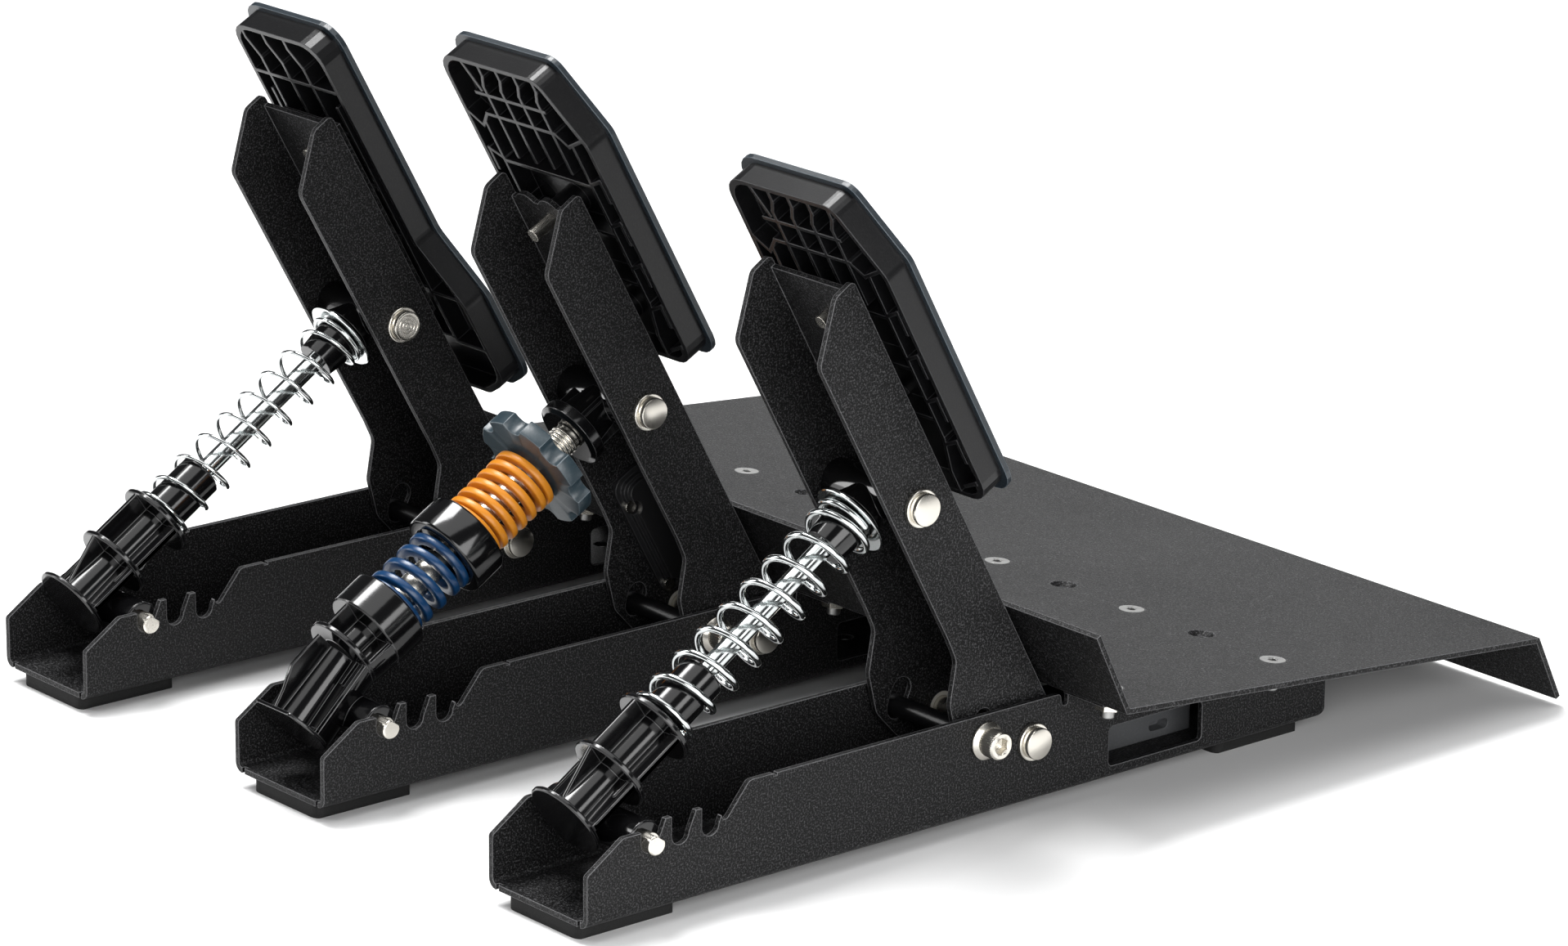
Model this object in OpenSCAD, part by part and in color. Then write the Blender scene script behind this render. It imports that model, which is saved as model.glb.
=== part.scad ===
// Set of three floor pedals on a folded heel plate: throttle, brake and clutch.
// X runs from the clutch to the throttle, Y from the heel to the toes, Z up.
// The origin is under the middle of the set, on the floor.

/* [Rails] */
// Distance between the middles of neighbouring rails
rail_pitch = 144; // [120:1:180]
// Gap between an arm and the rail's walls
arm_gap = 2.1; // [2:0.1:3]
// Length of a rail
rail_len = 335.5; // [330:0.5:350]
// Height of a rail's side walls
rail_h = 36.6; // [35:0.2:40]
// Height of the walls at the open front end
rail_nose_h = 18.5; // [16:0.5:22]
// Thickness of all folded steel sheet
sheet = 2; // [1.6:0.1:2.4]
// Inner radius of the folds
fold_r = 1.5; // [1:0.1:2.5]
// Distance between the three pin slots of a rail
slot_pitch = 12.7; // [12:0.1:14]
// Thickness of the rubber feet
foot_h = 5.8; // [4:0.2:8]
// Length of a rubber foot
foot_len = 41; // [30:1:50]
// Width of a rubber foot
foot_w = 39; // [30:1:46]

/* [Heel plate] */
// Width of the heel plate over all three rails
plate_w = 406; // [396:1:420]
// Length of the flat part of the heel plate, along its slope
plate_len = 203.5; // [190:0.5:215]
// Fall of the plate towards the heel
plate_slope = 4.84; // [4:0.02:5.4]
// Length of the raised front flange
front_flange = 32.6; // [26:0.2:38]
// Length of the rear flange that turns down
rear_flange = 27.6; // [20:0.2:28]
// Angle that both flanges are folded through
flange_fold = 58.6; // [50:0.2:66]
// Distance between neighbouring holes in the plate
hole_pitch = 36; // [34:0.5:38]
// Shank of the countersunk plate screws
plate_screw_d = 5; // [4:0.5:6]
// Head of the countersunk plate screws
plate_head_d = 9.6; // [9:0.2:11]

/* [Pedal arms] */
// Pivot pin, behind the front end of the rails
pivot_back = 193.3; // [190:0.1:196]
// Height of the pivot over the underside of the rail
pivot_up = 22.5; // [21:0.1:24]
// Lean of the arms towards the toes
arm_lean = 29; // [27:0.5:31]
// Outer width of an arm
arm_w = 43.8; // [42:0.1:44]
// Top of an arm above its pivot
arm_top = 192; // [188:0.5:196]
// Strut pin above the pivot, along the arm
upper_pin_s = 104.5; // [100:0.5:108]
// Shank of the pivot pin and of the strut's upper pin
pivot_d = 8; // [6:0.5:9]
// Shank of the strut's lower pin
lower_pin_d = 7; // [6:0.5:7]
// Stop bolt in front of the pivot
stop_fwd = 21; // [20:0.5:23]
// Stop bolt above the pivot
stop_up = 4.8; // [4:0.2:6]
// Shank of the stop bolt
stop_d = 6; // [5:0.5:6]
// Spacer tube round the stop bolt
sleeve_d = 7.5; // [7:0.1:8]
// Travel of the throttle and the clutch in degrees
long_travel = 15; // [12:0.5:15]
// Travel of the brake in degrees
brake_travel = 8; // [6:0.5:9]

/* [Pads] */
// Width of the brake and clutch pads
pad_w = 73; // [70:0.5:76]
// Height of the brake and clutch pads
pad_h = 128.5; // [124:0.5:132]
// Thickness of the pad plates
pad_plate = 2; // [1.5:0.1:3]
// Depth of the ribbed frames behind the pads
frame_depth = 9; // [8:0.5:10]
// Top of the brake pad above the pivot, along the arm
brake_pad_top = 240; // [236:0.5:244]
// Top of the clutch pad above the pivot, along the arm
clutch_pad_top = 221; // [217:0.5:225]
// Top of the throttle pad above the pivot, along the arm
throttle_pad_top = 223; // [219:0.5:227]
// Width of the throttle pad at its top
throttle_w = 57; // [54:0.5:60]
// Height of the throttle pad
throttle_h = 168; // [164:0.5:172]
// Thickness of the ribs in the frames
rib = 1.4; // [1.2:0.1:1.8]

/* [Struts] */
// Lower strut pin, behind the front end of the rails
lower_back = 26; // [25:0.1:27]
// Height of the lower strut pin over the underside of the rail
lower_up = 24.6; // [24:0.1:25]
// Strut axis above the lower pin, throttle and clutch
strut_offset = 11; // [10.5:0.1:12]
// Strut axis above the lower pin, brake
brake_offset = 15.5; // [15:0.1:16.5]
// Rod of the throttle and clutch struts
rod_d = 7; // [6:0.5:7]
// Rod of the brake strut
brake_rod_d = 10; // [9:0.5:10]
// Length of the long housings above the pin, up to the spring
housing_up = 35.2; // [34:0.2:37]
// Outside of the discs round the housings
disc_d = 29; // [28.6:0.2:30]
// Guide tube on top of the long housings
guide_d = 16.4; // [16:0.1:16.8]
// Outside of the clutch spring
clutch_coil_d = 23.5; // [23.4:0.1:25]
// Wire of the clutch spring
clutch_wire = 2.4; // [2:0.1:2.5]
// Outside of the throttle spring
throttle_coil_d = 22; // [21.6:0.1:24]
// Wire of the throttle spring
throttle_wire = 1.6; // [1.4:0.1:1.7]
// Outside of both brake springs
brake_coil_d = 24.8; // [24:0.1:26]
// Diameter of the star wheel over its lobes
wheel_d = 46; // [42:0.5:48]
// Lobes of the star wheel
wheel_lobes = 8; // [6:1:10]
// Outside of the collar between the brake springs
collar_d = 32.8; // [31:0.2:34]
// Outside of the cup under the brake springs
cup_d = 30; // [29:0.2:31]

/* [Hidden] */
$fn = 48;

// Clearances that hold everywhere
run_fit = 0.05;      // radius of a pin in its running bore
seat_gap = 0.3;      // between faces that move past each other
cut = 1;             // how far a cutting shape runs past a face

// The plate's first fold and the flanges set the depth of the whole, which the origin halves
plate_fold_back = 207.9;
plate_fold_up = 40;
flange_turn = flange_fold + plate_slope;

// Places along Y and Z, from the front end and the underside of the rails
front_y = (plate_fold_back + plate_len * cos(plate_slope) + rear_flange * cos(flange_turn)) / 2;
floor_z = foot_h;
pivot_y = front_y - pivot_back;
pivot_z = floor_z + pivot_up;
lower_y = front_y - lower_back;
lower_z = floor_z + lower_up;
stop_y = pivot_y + stop_fwd;
stop_z = pivot_z + stop_up;
centres = [-rail_pitch, 0, rail_pitch];
clutch_x = centres[0];
brake_x = centres[1];
throttle_x = centres[2];

// Rail outline
inner_w = arm_w + 2 * arm_gap;
rail_w = inner_w + 2 * sheet;
nose_slope = [15, 28.5];
slot_r = lower_pin_d / 2 + 0.1;
slot_flare = 5.4;
notch_back = 79;
rail_step = 206.5;
window_back = 229.8;
window_len = 44.7;
window_low = 4.9;
window_h = 14.6;
window_r = 2;
rig_back = [84, 256];
rig_hole_d = 6.6;
tab_w = 20;
tab_reach = hole_pitch + 8;

// Heel plate: its two rows of holes and its slope
row_back = [220, 298.45];
row_count = 5;
plate_fold_y = front_y - plate_fold_back;
plate_fold_z = floor_z + plate_fold_up;
function plate_top(y) = plate_fold_z + (y - plate_fold_y) * tan(plate_slope);
sheet_up = sheet / cos(plate_slope);

// Arm outline, as distances along the arm and out from its axis towards the toes
web_n = -15.3;
flange_n = 10.2;
upper_pin_n = -1.4;
arm_in = arm_w - 2 * sheet;
foot_r = 14;
stop_r = norm([stop_fwd, stop_up]);
stop_polar = atan2(stop_up, stop_fwd);
slot_w = sleeve_d + 0.9;

// Bushes in the arms, and the arms' holes for the pad screws
bush_wall = 1.5;
bush_flange = arm_gap - seat_gap / 2;
function pad_screw_s(is_brake) = is_brake ? [176.7, 128] : [172, 128];

// Pads: the plate stands past its frame, and bosses hold the frame off the arm
pad_edge = 2;
pad_wall = 1.8;
pad_skin = 2;
standoff = 4.2;
frame_n = web_n - standoff;
plate_n = frame_n - frame_depth;

// Sensor cover on the brake's arm
cover_low = 8;
cover_high = 61;
cover_front = 4.2;
cover_skin = 1.6;
cover_screws = [[1.4, 12.2], [1.4, 49.5]];

// Strut axes: they pass through the upper pin and above the lower one
upper_y = pivot_y + upper_pin_s * sin(arm_lean) + upper_pin_n * cos(arm_lean);
upper_z = pivot_z + upper_pin_s * cos(arm_lean) - upper_pin_n * sin(arm_lean);
pin_gap = norm([lower_y - upper_y, upper_z - lower_z]);
pin_angle = atan2(upper_z - lower_z, lower_y - upper_y);
function strut_angle(off) = pin_angle - asin(off / pin_gap);
function strut_len(off) = sqrt(pin_gap * pin_gap - off * off);
long_len = strut_len(strut_offset);
brake_len = strut_len(brake_offset);
slip = 0.9;          // radius left round a rod in its housing
boss_d = 15;
long_slide = 28;
brake_slide = 15;
guide_up = 59;
seat_t = 133.8;
knuckle_d = 13.5;
long_low = 41;       // lower end of the long rods at rest
brake_low = 17;      // lower end of the brake's rod at rest

// Moulded housings: cross-shaped webs round a core, between discs
core_d = 13;
web_reach = 14;
web_t = 1.7;
disc_t = 2.1;

// Brake stack, measured up the strut axis
cup_low = 22.1;
cup_top = 35.6;
collar_low = 62;
collar_top = 75.3;
wheel_low = 107;
wheel_h = 6.5;
boot_low = 126;

// Sides of a spring's swept section, and its rings in one turn. The rings stand out from the
// coil's circle by as much as the straight runs between them lie inside it.
sides = 6;
rings = 8;
swell = 1 / sqrt(cos(180 / rings));
coil_seat_d = brake_coil_d * swell + 2 * seat_gap;

// Electronics: the box under the heel plate ends short of the swinging arm
box_back = window_back + window_len + 12.5;
box_size = [0.6 * inner_w + 1, box_back - pivot_back - 19, 17];
box_port = [16.5, 4.5];  // middle of its socket, along the box and up

// The throttle's slide plate, and how far the screws stand through the arms
slide_w = 34;
slide_low = pad_screw_s(false)[1] - 32;
slide_high = pad_screw_s(false)[0] + 12;
throttle_tip = 3.4;
brake_tip = 10;

// Fasteners
ring_d = 13.5;
ring_h = 2;
pin_head_d = 11.3;
pin_head_h = 2.6;
washer_h = 2.2;
cap_d = 10;
cap_h = 6;
hex_key = 5;
nut_h = 5;

steel = "#3b3d42";
black = "#202124";
bright = "#c9cacc";

// Points of an outline with each corner [x, y, radius] rounded by an arc
function unit(v) = v / norm(v);
function arc_points(q, a, b, r, n) =
    let (half = acos(a * b) / 2,
         c = q + unit(a + b) * r / sin(half),
         d = r / tan(half),
         t0 = atan2((q + a * d - c).y, (q + a * d - c).x),
         t1 = atan2((q + b * d - c).y, (q + b * d - c).x),
         turn = (t1 - t0 + 540) % 360 - 180)
    [for (i = [0:n]) c + r * [cos(t0 + turn * i / n), sin(t0 + turn * i / n)]];
function rounded(pts, n = 5) =
    [for (i = [0:len(pts) - 1])
        let (q = [pts[i].x, pts[i].y],
             p = pts[(i + len(pts) - 1) % len(pts)],
             s = pts[(i + 1) % len(pts)],
             a = unit([p.x, p.y] - q),
             b = unit([s.x, s.y] - q))
        each (pts[i].z > 0 ? arc_points(q, a, b, pts[i].z, n) : [q])];

// A folded sheet's section: the face line and the same line one thickness below it
function mitre(a, b, c, t) =
    let (u = unit(b - a), v = unit(c - b), m = unit(u + v), w = [m.y, -m.x])
    b + w * t / (w * [u.y, -u.x]);
function folded(line, t) =
    let (n = len(line) - 1,
         first = line[0] + t * [unit(line[1] - line[0]).y, -unit(line[1] - line[0]).x],
         last = line[n] + t * [unit(line[n] - line[n - 1]).y, -unit(line[n] - line[n - 1]).x])
    concat(line, [last], [for (i = [n - 1:-1:1]) mitre(line[i - 1], line[i], line[i + 1], t)],
        [first]);

// An outline in Y and Z, extruded along X between two places
module side_plate(x0, x1) {
    translate([x0, 0, 0])
        rotate([90, 0, 90])
            linear_extrude(x1 - x0)
                children();
}

// A bar of circular section along X between two places
module cross_rod(d, x0, x1) {
    translate([x0, 0, 0])
        rotate([0, 90, 0])
            cylinder(d = d, h = x1 - x0);
}

// The arm's own frame: Y points out to the toes, Z up the arm
module at_arm(x) {
    translate([x, pivot_y, pivot_z])
        rotate([-arm_lean, 0, 0])
            children();
}

// The strut's own frame: Z runs up its axis, from beside the lower pin
module at_strut(x, off) {
    translate([x, lower_y, lower_z])
        rotate([90 - strut_angle(off), 0, 0])
            translate([0, off, 0])
                children();
}

// A point of the plate's upper face, with Z square to the plate
module on_plate(x, back) {
    translate([x, front_y - back, plate_top(front_y - back)])
        rotate([plate_slope, 0, 0])
            children();
}

// Rails

module pin_slot(c) {
    translate([c, lower_z])
        circle(slot_r);
    polygon([[c + slot_r, lower_z], [c + slot_r, floor_z + rail_h],
        [c - slot_r - slot_flare, floor_z + rail_h], [c - slot_r, lower_z]]);
}

module rail_side() {
    f = front_y;
    z = floor_z;
    slope_low = lower_back + 2 * slot_pitch + slot_r;
    end_y = f - rail_len;
    fold_y = f - rail_step;
    difference() {
        polygon(rounded([
            [f, z, 0],
            [f, z + rail_nose_h, 1.5],
            [f - nose_slope.x, z + nose_slope.y, 3],
            [f - lower_back + slot_r, z + nose_slope.y, 0],
            [f - lower_back - slot_r, z + nose_slope.y + 2.8, 0],
            [f - slope_low, z + nose_slope.y + 2.8, 0],
            [f - slope_low - 2, z + lower_up - 1, 1.5],
            [f - slope_low - 13, z + rail_h, 3],
            [fold_y, z + rail_h, 1.5],
            [fold_y - 1, z + rail_h - 4.5, 0.8],
            [fold_y - 3.4, z + rail_h - 4.5, 0.8],
            [fold_y - 3.6, plate_top(fold_y - 3.6) - sheet_up, 0],
            [end_y, plate_top(end_y) - sheet_up, 1.5],
            [end_y, z, 4]]));
        for (k = [0:2])
            pin_slot(f - lower_back - k * slot_pitch);
        translate([f - notch_back, z + rail_h])
            square([1.6, 2], center = true);
    }
}

module rail_section() {
    difference() {
        polygon(rounded([[-rail_w / 2, 0, fold_r + sheet], [rail_w / 2, 0, fold_r + sheet],
            [rail_w / 2, rail_h + 5, 0], [-rail_w / 2, rail_h + 5, 0]]));
        polygon(rounded([[-inner_w / 2, sheet, fold_r], [inner_w / 2, sheet, fold_r],
            [inner_w / 2, rail_h + 5 + cut, 0], [-inner_w / 2, rail_h + 5 + cut, 0]]));
    }
}

module screw_tab(side, back) {
    on_plate(0, back)
        difference() {
            translate([side > 0 ? inner_w / 2 : -tab_reach, -tab_w / 2, -2 * sheet])
                cube([tab_reach - inner_w / 2, tab_w, sheet]);
            translate([side * hole_pitch, 0, -3 * sheet])
                cylinder(d = plate_screw_d + 0.4, h = 3 * sheet);
        }
}

module rail(x) {
    color(steel)
    translate([x, 0, 0])
    difference() {
        union() {
            intersection() {
                translate([0, front_y, floor_z])
                    rotate([90, 0, 0])
                        linear_extrude(rail_len)
                            rail_section();
                side_plate(-rail_w / 2 - cut, rail_w / 2 + cut)
                    rail_side();
            }
            for (side = [-1, 1])
                for (back = row_back)
                    screw_tab(side, back);
        }
        translate([0, pivot_y, pivot_z])
            cross_rod(pivot_d + 2 * run_fit, -rail_w, rail_w);
        translate([0, stop_y, stop_z])
            cross_rod(stop_d + 2 * run_fit, -rail_w, rail_w);
        side_plate(-rail_w, rail_w)
            translate([front_y - window_back - window_len, floor_z + window_low])
                polygon(rounded([[0, 0, window_r], [window_len, 0, window_r],
                    [window_len, window_h, window_r], [0, window_h, window_r]]));
        for (back = rig_back)
            translate([0, front_y - back, floor_z - cut])
                cylinder(d = rig_hole_d, h = sheet + 2 * cut);
        for (side = [-1, 1])
            translate([side * (inner_w / 2 - fold_r - 1), front_y, floor_z])
                cube([1.6, 3, 3 * sheet], center = true);
    }
}

module clutch_rail() { rail(clutch_x); }
module brake_rail() { rail(brake_x); }
module throttle_rail() { rail(throttle_x); }

module rubber_feet() {
    color(black)
    for (x = centres)
        for (back = [2, rail_len - foot_len - 5.5])
            translate([x, front_y - back - foot_len, 0])
                intersection() {
                    linear_extrude(foot_h)
                        translate([-foot_w / 2, 0])
                            polygon(rounded([[0, 0, 4], [foot_w, 0, 4], [foot_w, foot_len, 4],
                                [0, foot_len, 4]]));
                    translate([0, foot_len, 0])
                        rotate([90, 0, 0])
                            linear_extrude(foot_len)
                                polygon([[-foot_w / 2 + 1, 0], [foot_w / 2 - 1, 0],
                                    [foot_w / 2, 1.4], [foot_w / 2, foot_h],
                                    [-foot_w / 2, foot_h], [-foot_w / 2, 1.4]]);
                }
}

// Heel plate and its screws

module heel_plate() {
    fold = [plate_fold_y, plate_fold_z];
    turn = [cos(flange_turn), sin(flange_turn)];
    rear = fold - plate_len * [cos(plate_slope), sin(plate_slope)];
    line = [rear - rear_flange * turn, rear, fold, fold + front_flange * turn];
    color(steel)
    difference() {
        side_plate(-plate_w / 2, plate_w / 2)
            polygon(folded(line, sheet));
        for (n = [-row_count:row_count])
            plate_hole(n * hole_pitch, row_back[1]);
        for (x = centres)
            for (side = [-1, 1])
                plate_hole(x + side * hole_pitch, row_back[0]);
    }
}

module plate_hole(x, back) {
    depth = (plate_head_d - plate_screw_d) / 2;
    on_plate(x, back) {
        translate([0, 0, -sheet - cut])
            cylinder(d = plate_screw_d + 0.5, h = sheet + 2 * cut);
        translate([0, 0, -depth])
            cylinder(d1 = plate_screw_d + 0.4, d2 = plate_head_d + 0.4, h = depth);
        cylinder(d = plate_head_d + 0.4, h = cut);
    }
}

module at_screws() {
    for (x = centres)
        for (side = [-1, 1])
            for (back = row_back)
                on_plate(x + side * hole_pitch, back)
                    children();
}

module plate_screws() {
    depth = (plate_head_d - plate_screw_d) / 2;
    color(bright)
    at_screws()
        difference() {
            union() {
                translate([0, 0, -depth])
                    cylinder(d1 = plate_screw_d, d2 = plate_head_d, h = depth);
                translate([0, 0, -2 * sheet - nut_h - 2])
                    cylinder(d = plate_screw_d, h = 2 * sheet + nut_h + 2 - depth);
            }
            translate([0, 0, -1.6])
                cylinder(d = 3.4, h = 3, $fn = 6);
        }
}

module plate_nuts() {
    color(bright)
    at_screws()
        translate([0, 0, -2 * sheet - nut_h + 1])
            difference() {
                cylinder(d = 9, h = nut_h - 1, $fn = 6);
                translate([0, 0, -cut])
                    cylinder(d = plate_screw_d, h = nut_h + 2 * cut);
            }
}

// Pins, bolts and rings in the rails

module pin_with_head(d, half, tail) {
    cross_rod(d, -half - ring_h, half + ring_h + tail);
    cross_rod(pin_head_d, -half - ring_h - pin_head_h, -half - ring_h);
}

module ring_pair(d, half) {
    for (side = [-1, 1])
        difference() {
            cross_rod(ring_d, side * half + (side < 0 ? -ring_h : 0),
                side * half + (side < 0 ? 0 : ring_h));
            cross_rod(d, -half - 2 * ring_h, half + 2 * ring_h);
        }
}

module pivot_pins() {
    color(bright)
    for (x = centres)
        translate([x, pivot_y, pivot_z])
            pin_with_head(pivot_d, rail_w / 2, 1.5);
}

module pivot_rings() {
    color(bright)
    for (x = centres)
        translate([x, pivot_y, pivot_z])
            ring_pair(pivot_d, rail_w / 2);
}

module stop_bolts() {
    head = rail_w / 2 + washer_h;
    color(bright)
    for (x = centres)
        translate([x, stop_y, stop_z])
            difference() {
                union() {
                    cross_rod(stop_d, -head, head + nut_h + 2);
                    cross_rod(cap_d, -head - cap_h, -head);
                }
                translate([-head - cap_h - cut, 0, 0])
                    rotate([0, 90, 0])
                        cylinder(d = hex_key / cos(30), h = 3 + cut, $fn = 6);
            }
}

module stop_sleeves() {
    color(black)
    for (x = centres)
        translate([x, stop_y, stop_z])
            difference() {
                cross_rod(sleeve_d, -inner_w / 2, inner_w / 2);
                cross_rod(stop_d, -rail_w, rail_w);
            }
}

module stop_washers() {
    color(bright)
    for (x = centres)
        for (side = [-1, 1])
            translate([x + side * rail_w / 2, stop_y, stop_z])
                rotate([0, side * 90, 0])
                    difference() {
                        union() {
                            cylinder(d = ring_d, h = washer_h / 2);
                            translate([0, 0, washer_h / 2])
                                cylinder(d1 = ring_d, d2 = cap_d + 0.4, h = washer_h / 2);
                        }
                        translate([0, 0, -cut])
                            cylinder(d = stop_d, h = washer_h + 2 * cut);
                    }
}

module stop_nuts() {
    color(bright)
    for (x = centres)
        translate([x + rail_w / 2 + washer_h, stop_y, stop_z])
            rotate([0, 90, 0])
                difference() {
                    cylinder(d = cap_d / cos(30), h = nut_h, $fn = 6);
                    translate([0, 0, -cut])
                        cylinder(d = stop_d, h = nut_h + 2 * cut);
                }
}

module lower_pins() {
    reach = rail_w / 2 + 4;
    color(bright)
    for (x = centres)
        translate([x, lower_y, lower_z])
            difference() {
                cross_rod(lower_pin_d, -reach, reach);
                for (side = [-1, 1])
                    rotate([-35, 0, 0])
                        translate([side * reach, 0, lower_pin_d / 2])
                            cube([7, lower_pin_d, 2], center = true);
            }
}

// Electronics inside the rails

module controller_box() {
    w = box_size.x;
    l = box_size.y;
    color("#6d7076")
    translate([clutch_x + inner_w / 2 - fold_r - w - 1, front_y - box_back, floor_z + sheet])
        difference() {
            linear_extrude(box_size.z)
                polygon(rounded([[0, 0, 2], [w, 0, 2], [w, l, 2], [0, l, 2]]));
            translate([-cut, box_port.x, box_port.y])
                rotate([0, 90, 0])
                    linear_extrude(6)
                        polygon(rounded([[-1.8, -4.6, 1.7], [1.8, -4.6, 1.7], [1.8, 4.6, 1.7],
                            [-1.8, 4.6, 1.7]]));
        }
}

module sensor_boards() {
    color("#1f4d33")
    for (x = centres)
        translate([x, pivot_y, floor_z + sheet]) {
            for (side = [-1, 1])
                translate([side * 9, 0, 0])
                    cylinder(d = 4, h = 1.5);
            translate([-13, -8, 1.5])
                cube([26, 16, 1.2]);
        }
}

// Arms

module arm_flange_outline() {
    polygon(rounded([
        [web_n, arm_top, 2],
        [-6.5, arm_top - 0.6, 4],
        [flange_n, arm_top - 17.5, 5],
        [flange_n, 54, 6],
        [flange_n + 0.6, 45, 6],
        [20.5, 33, 7],
        [24.5, 18, 7],
        [21, 4, 9],
        [6, -foot_r, 10],
        [-7, -foot_r, 7],
        [web_n, -4, 6]]));
}

module arm_body(x, waves) {
    color(steel)
    at_arm(x)
    difference() {
        union() {
            for (side = [-1, 1])
                translate([side * (arm_w - sheet) / 2, 0, 0])
                    side_plate(-sheet / 2, sheet / 2)
                        arm_flange_outline();
            translate([-arm_w / 2 + sheet / 2, web_n, -2])
                cube([arm_w - sheet, sheet, arm_top - (waves ? 8 : 2)]);
            if (waves)
                translate([-arm_w / 2 + sheet, web_n, arm_top - 14])
                    for (at = [0.18, 0.5, 0.82])
                        translate([at * arm_in, sheet, 0])
                            rotate([90, 0, 0])
                                cylinder(d = 13, h = sheet);
        }
        cross_rod(pivot_d + 2 * bush_wall, -arm_w, arm_w);
        translate([0, upper_pin_n, upper_pin_s])
            cross_rod(pivot_d + 2 * run_fit, -arm_w, arm_w);
        arc_slot(waves ? brake_travel : long_travel);
        for (s = pad_screw_s(waves))
            translate([0, web_n - cut, s])
                rotate([-90, 0, 0])
                    cylinder(d = 5.4, h = sheet + 2 * cut);
    }
}

// The slot that the stop bolt runs in as the arm swings
module arc_slot(travel) {
    margin = 1.5;
    from = arm_lean + stop_polar - margin;
    to = arm_lean + stop_polar + travel + margin;
    cross_cut()
        difference() {
            polygon(concat([[0, 0]], [for (i = [0:6])
                2 * stop_r * [cos(from + (to - from) * i / 6), sin(from + (to - from) * i / 6)]]));
            circle(stop_r - slot_w / 2, $fn = 96);
            difference() {
                circle(4 * stop_r);
                circle(stop_r + slot_w / 2, $fn = 96);
            }
        }
    for (a = [from, to])
        translate([0, stop_r * cos(a), stop_r * sin(a)])
            cross_rod(slot_w, -arm_w, arm_w);
}

module cross_cut() {
    side_plate(-arm_w, arm_w)
        children();
}

module clutch_arm() { arm_body(clutch_x, false); }
module brake_arm() { arm_body(brake_x, true); }
module throttle_arm() { arm_body(throttle_x, false); }

module bushes(x) {
    color("#d8d6cc")
    translate([x, pivot_y, pivot_z])
        for (side = [-1, 1])
            rotate([0, side * 90, 0])
                translate([0, 0, arm_in / 2])
                    difference() {
                        union() {
                            cylinder(d = pivot_d + 2 * bush_wall, h = sheet);
                            translate([0, 0, sheet])
                                cylinder(d = ring_d, h = bush_flange);
                        }
                        translate([0, 0, -cut])
                            cylinder(d = pivot_d + 2 * run_fit, h = sheet + bush_flange + 2 * cut);
                    }
}

module clutch_bushes() { bushes(clutch_x); }
module brake_bushes() { bushes(brake_x); }
module throttle_bushes() { bushes(throttle_x); }

// A bar between the arm's flanges, which holds the sensor's magnet under the pivot
module magnet_bar(x) {
    color(black)
    at_arm(x) {
        translate([0, -2, -10.5])
            cube([arm_in, 7, 5], center = true);
        translate([0, -2, -14.5])
            cylinder(d = 6, h = 1.6);
    }
}

module clutch_magnet() { magnet_bar(clutch_x); }
module brake_magnet() { magnet_bar(brake_x); }
module throttle_magnet() { magnet_bar(throttle_x); }

// Upper pins

module upper_pin(x) {
    color(bright)
    at_arm(x)
        translate([0, upper_pin_n, upper_pin_s])
            pin_with_head(pivot_d, arm_w / 2, 1.5);
}

module upper_rings(x) {
    color(bright)
    at_arm(x)
        translate([0, upper_pin_n, upper_pin_s])
            ring_pair(pivot_d, arm_w / 2);
}

module clutch_upper_pin() { upper_pin(clutch_x); }
module brake_upper_pin() { upper_pin(brake_x); }
module throttle_upper_pin() { upper_pin(throttle_x); }
module clutch_upper_rings() { upper_rings(clutch_x); }
module brake_upper_rings() { upper_rings(brake_x); }
module throttle_upper_rings() { upper_rings(throttle_x); }

// Pads: outlines have X across and Y up the arm, with Y = 0 at the pad's top

module wide_outline(inset) {
    w = pad_w / 2 - inset;
    polygon(rounded([
        [w, -inset, 9], [-w + 14.5 - inset * 0.4, -inset, 7],
        [-w, -27.5 - inset * 0.4, 8],
        [-w, -pad_h + inset, 9], [w, -pad_h + inset, 9]]));
}

module throttle_outline(inset) {
    w = throttle_w / 2 - inset;
    flare = 12.5;
    polygon(rounded([
        [w, -inset, 9], [-w, -inset, 9],
        [-w, -94 + inset * 0.3, 12],
        [-w - flare, -121 + inset * 0.3, 9],
        [-w - flare, -throttle_h + 8 + inset, 10],
        [-w - flare + 14, -throttle_h + inset, 9],
        [w, -throttle_h + inset, 9]]));
}

// Stands an outline on the arm, from one distance out to another
module on_arm(x, top, n_from, n_to) {
    at_arm(x)
        translate([0, n_to, top])
            rotate([90, 0, 0])
                linear_extrude(n_to - n_from)
                    children();
}

module rib_line(a, b) {
    d = b - a;
    translate(a)
        rotate(atan2(d.y, d.x))
            translate([-rib / 2, -rib / 2])
                square([norm(d) + rib, rib]);
}

module wide_ribs() {
    drop = [-17, -26.5];
    for (y = drop)
        rib_line([-17, y], [21, y]);
    for (k = [0:3])
        let (x = 12 - 10 * k) {
            rib_line([x, -pad_edge], [x, -8]);
            rib_line([x, -8], [x + 2.5, -13]);
            rib_line([x + 2.5, -13], [x + 2.5, -44]);
        }
    rib_line([22, -pad_edge], [17, -15]);
    rib_line([-17, drop[1]], [-22, -31]);
    rib_line([-22, -31], [-34, -25]);
    rib_line([21, drop[1]], [27, -33]);
    rib_line([27, -33], [34, -27]);
    for (side = [-1, 1]) {
        rib_line([side * 24.5, -31], [side * 24.5, -100]);
        rib_line([side * 24.5, -100], [side * 20, -116]);
        rib_line([side * 20, -116], [side * 20, -pad_h + pad_edge]);
        for (k = [0:4])
            rib_line([side * 24.5, -47 - 18.6 * k], [side * 31, -44 - 18.6 * k]);
        for (k = [0:4])
            rib_line([side * 31, -44 - 18.6 * k], [side * 31, -53 - 18.6 * k]);
    }
    for (k = [1:3])
        rib_line([-24.5, -26 - 22 * k], [24.5, -26 - 22 * k]);
}

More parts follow.
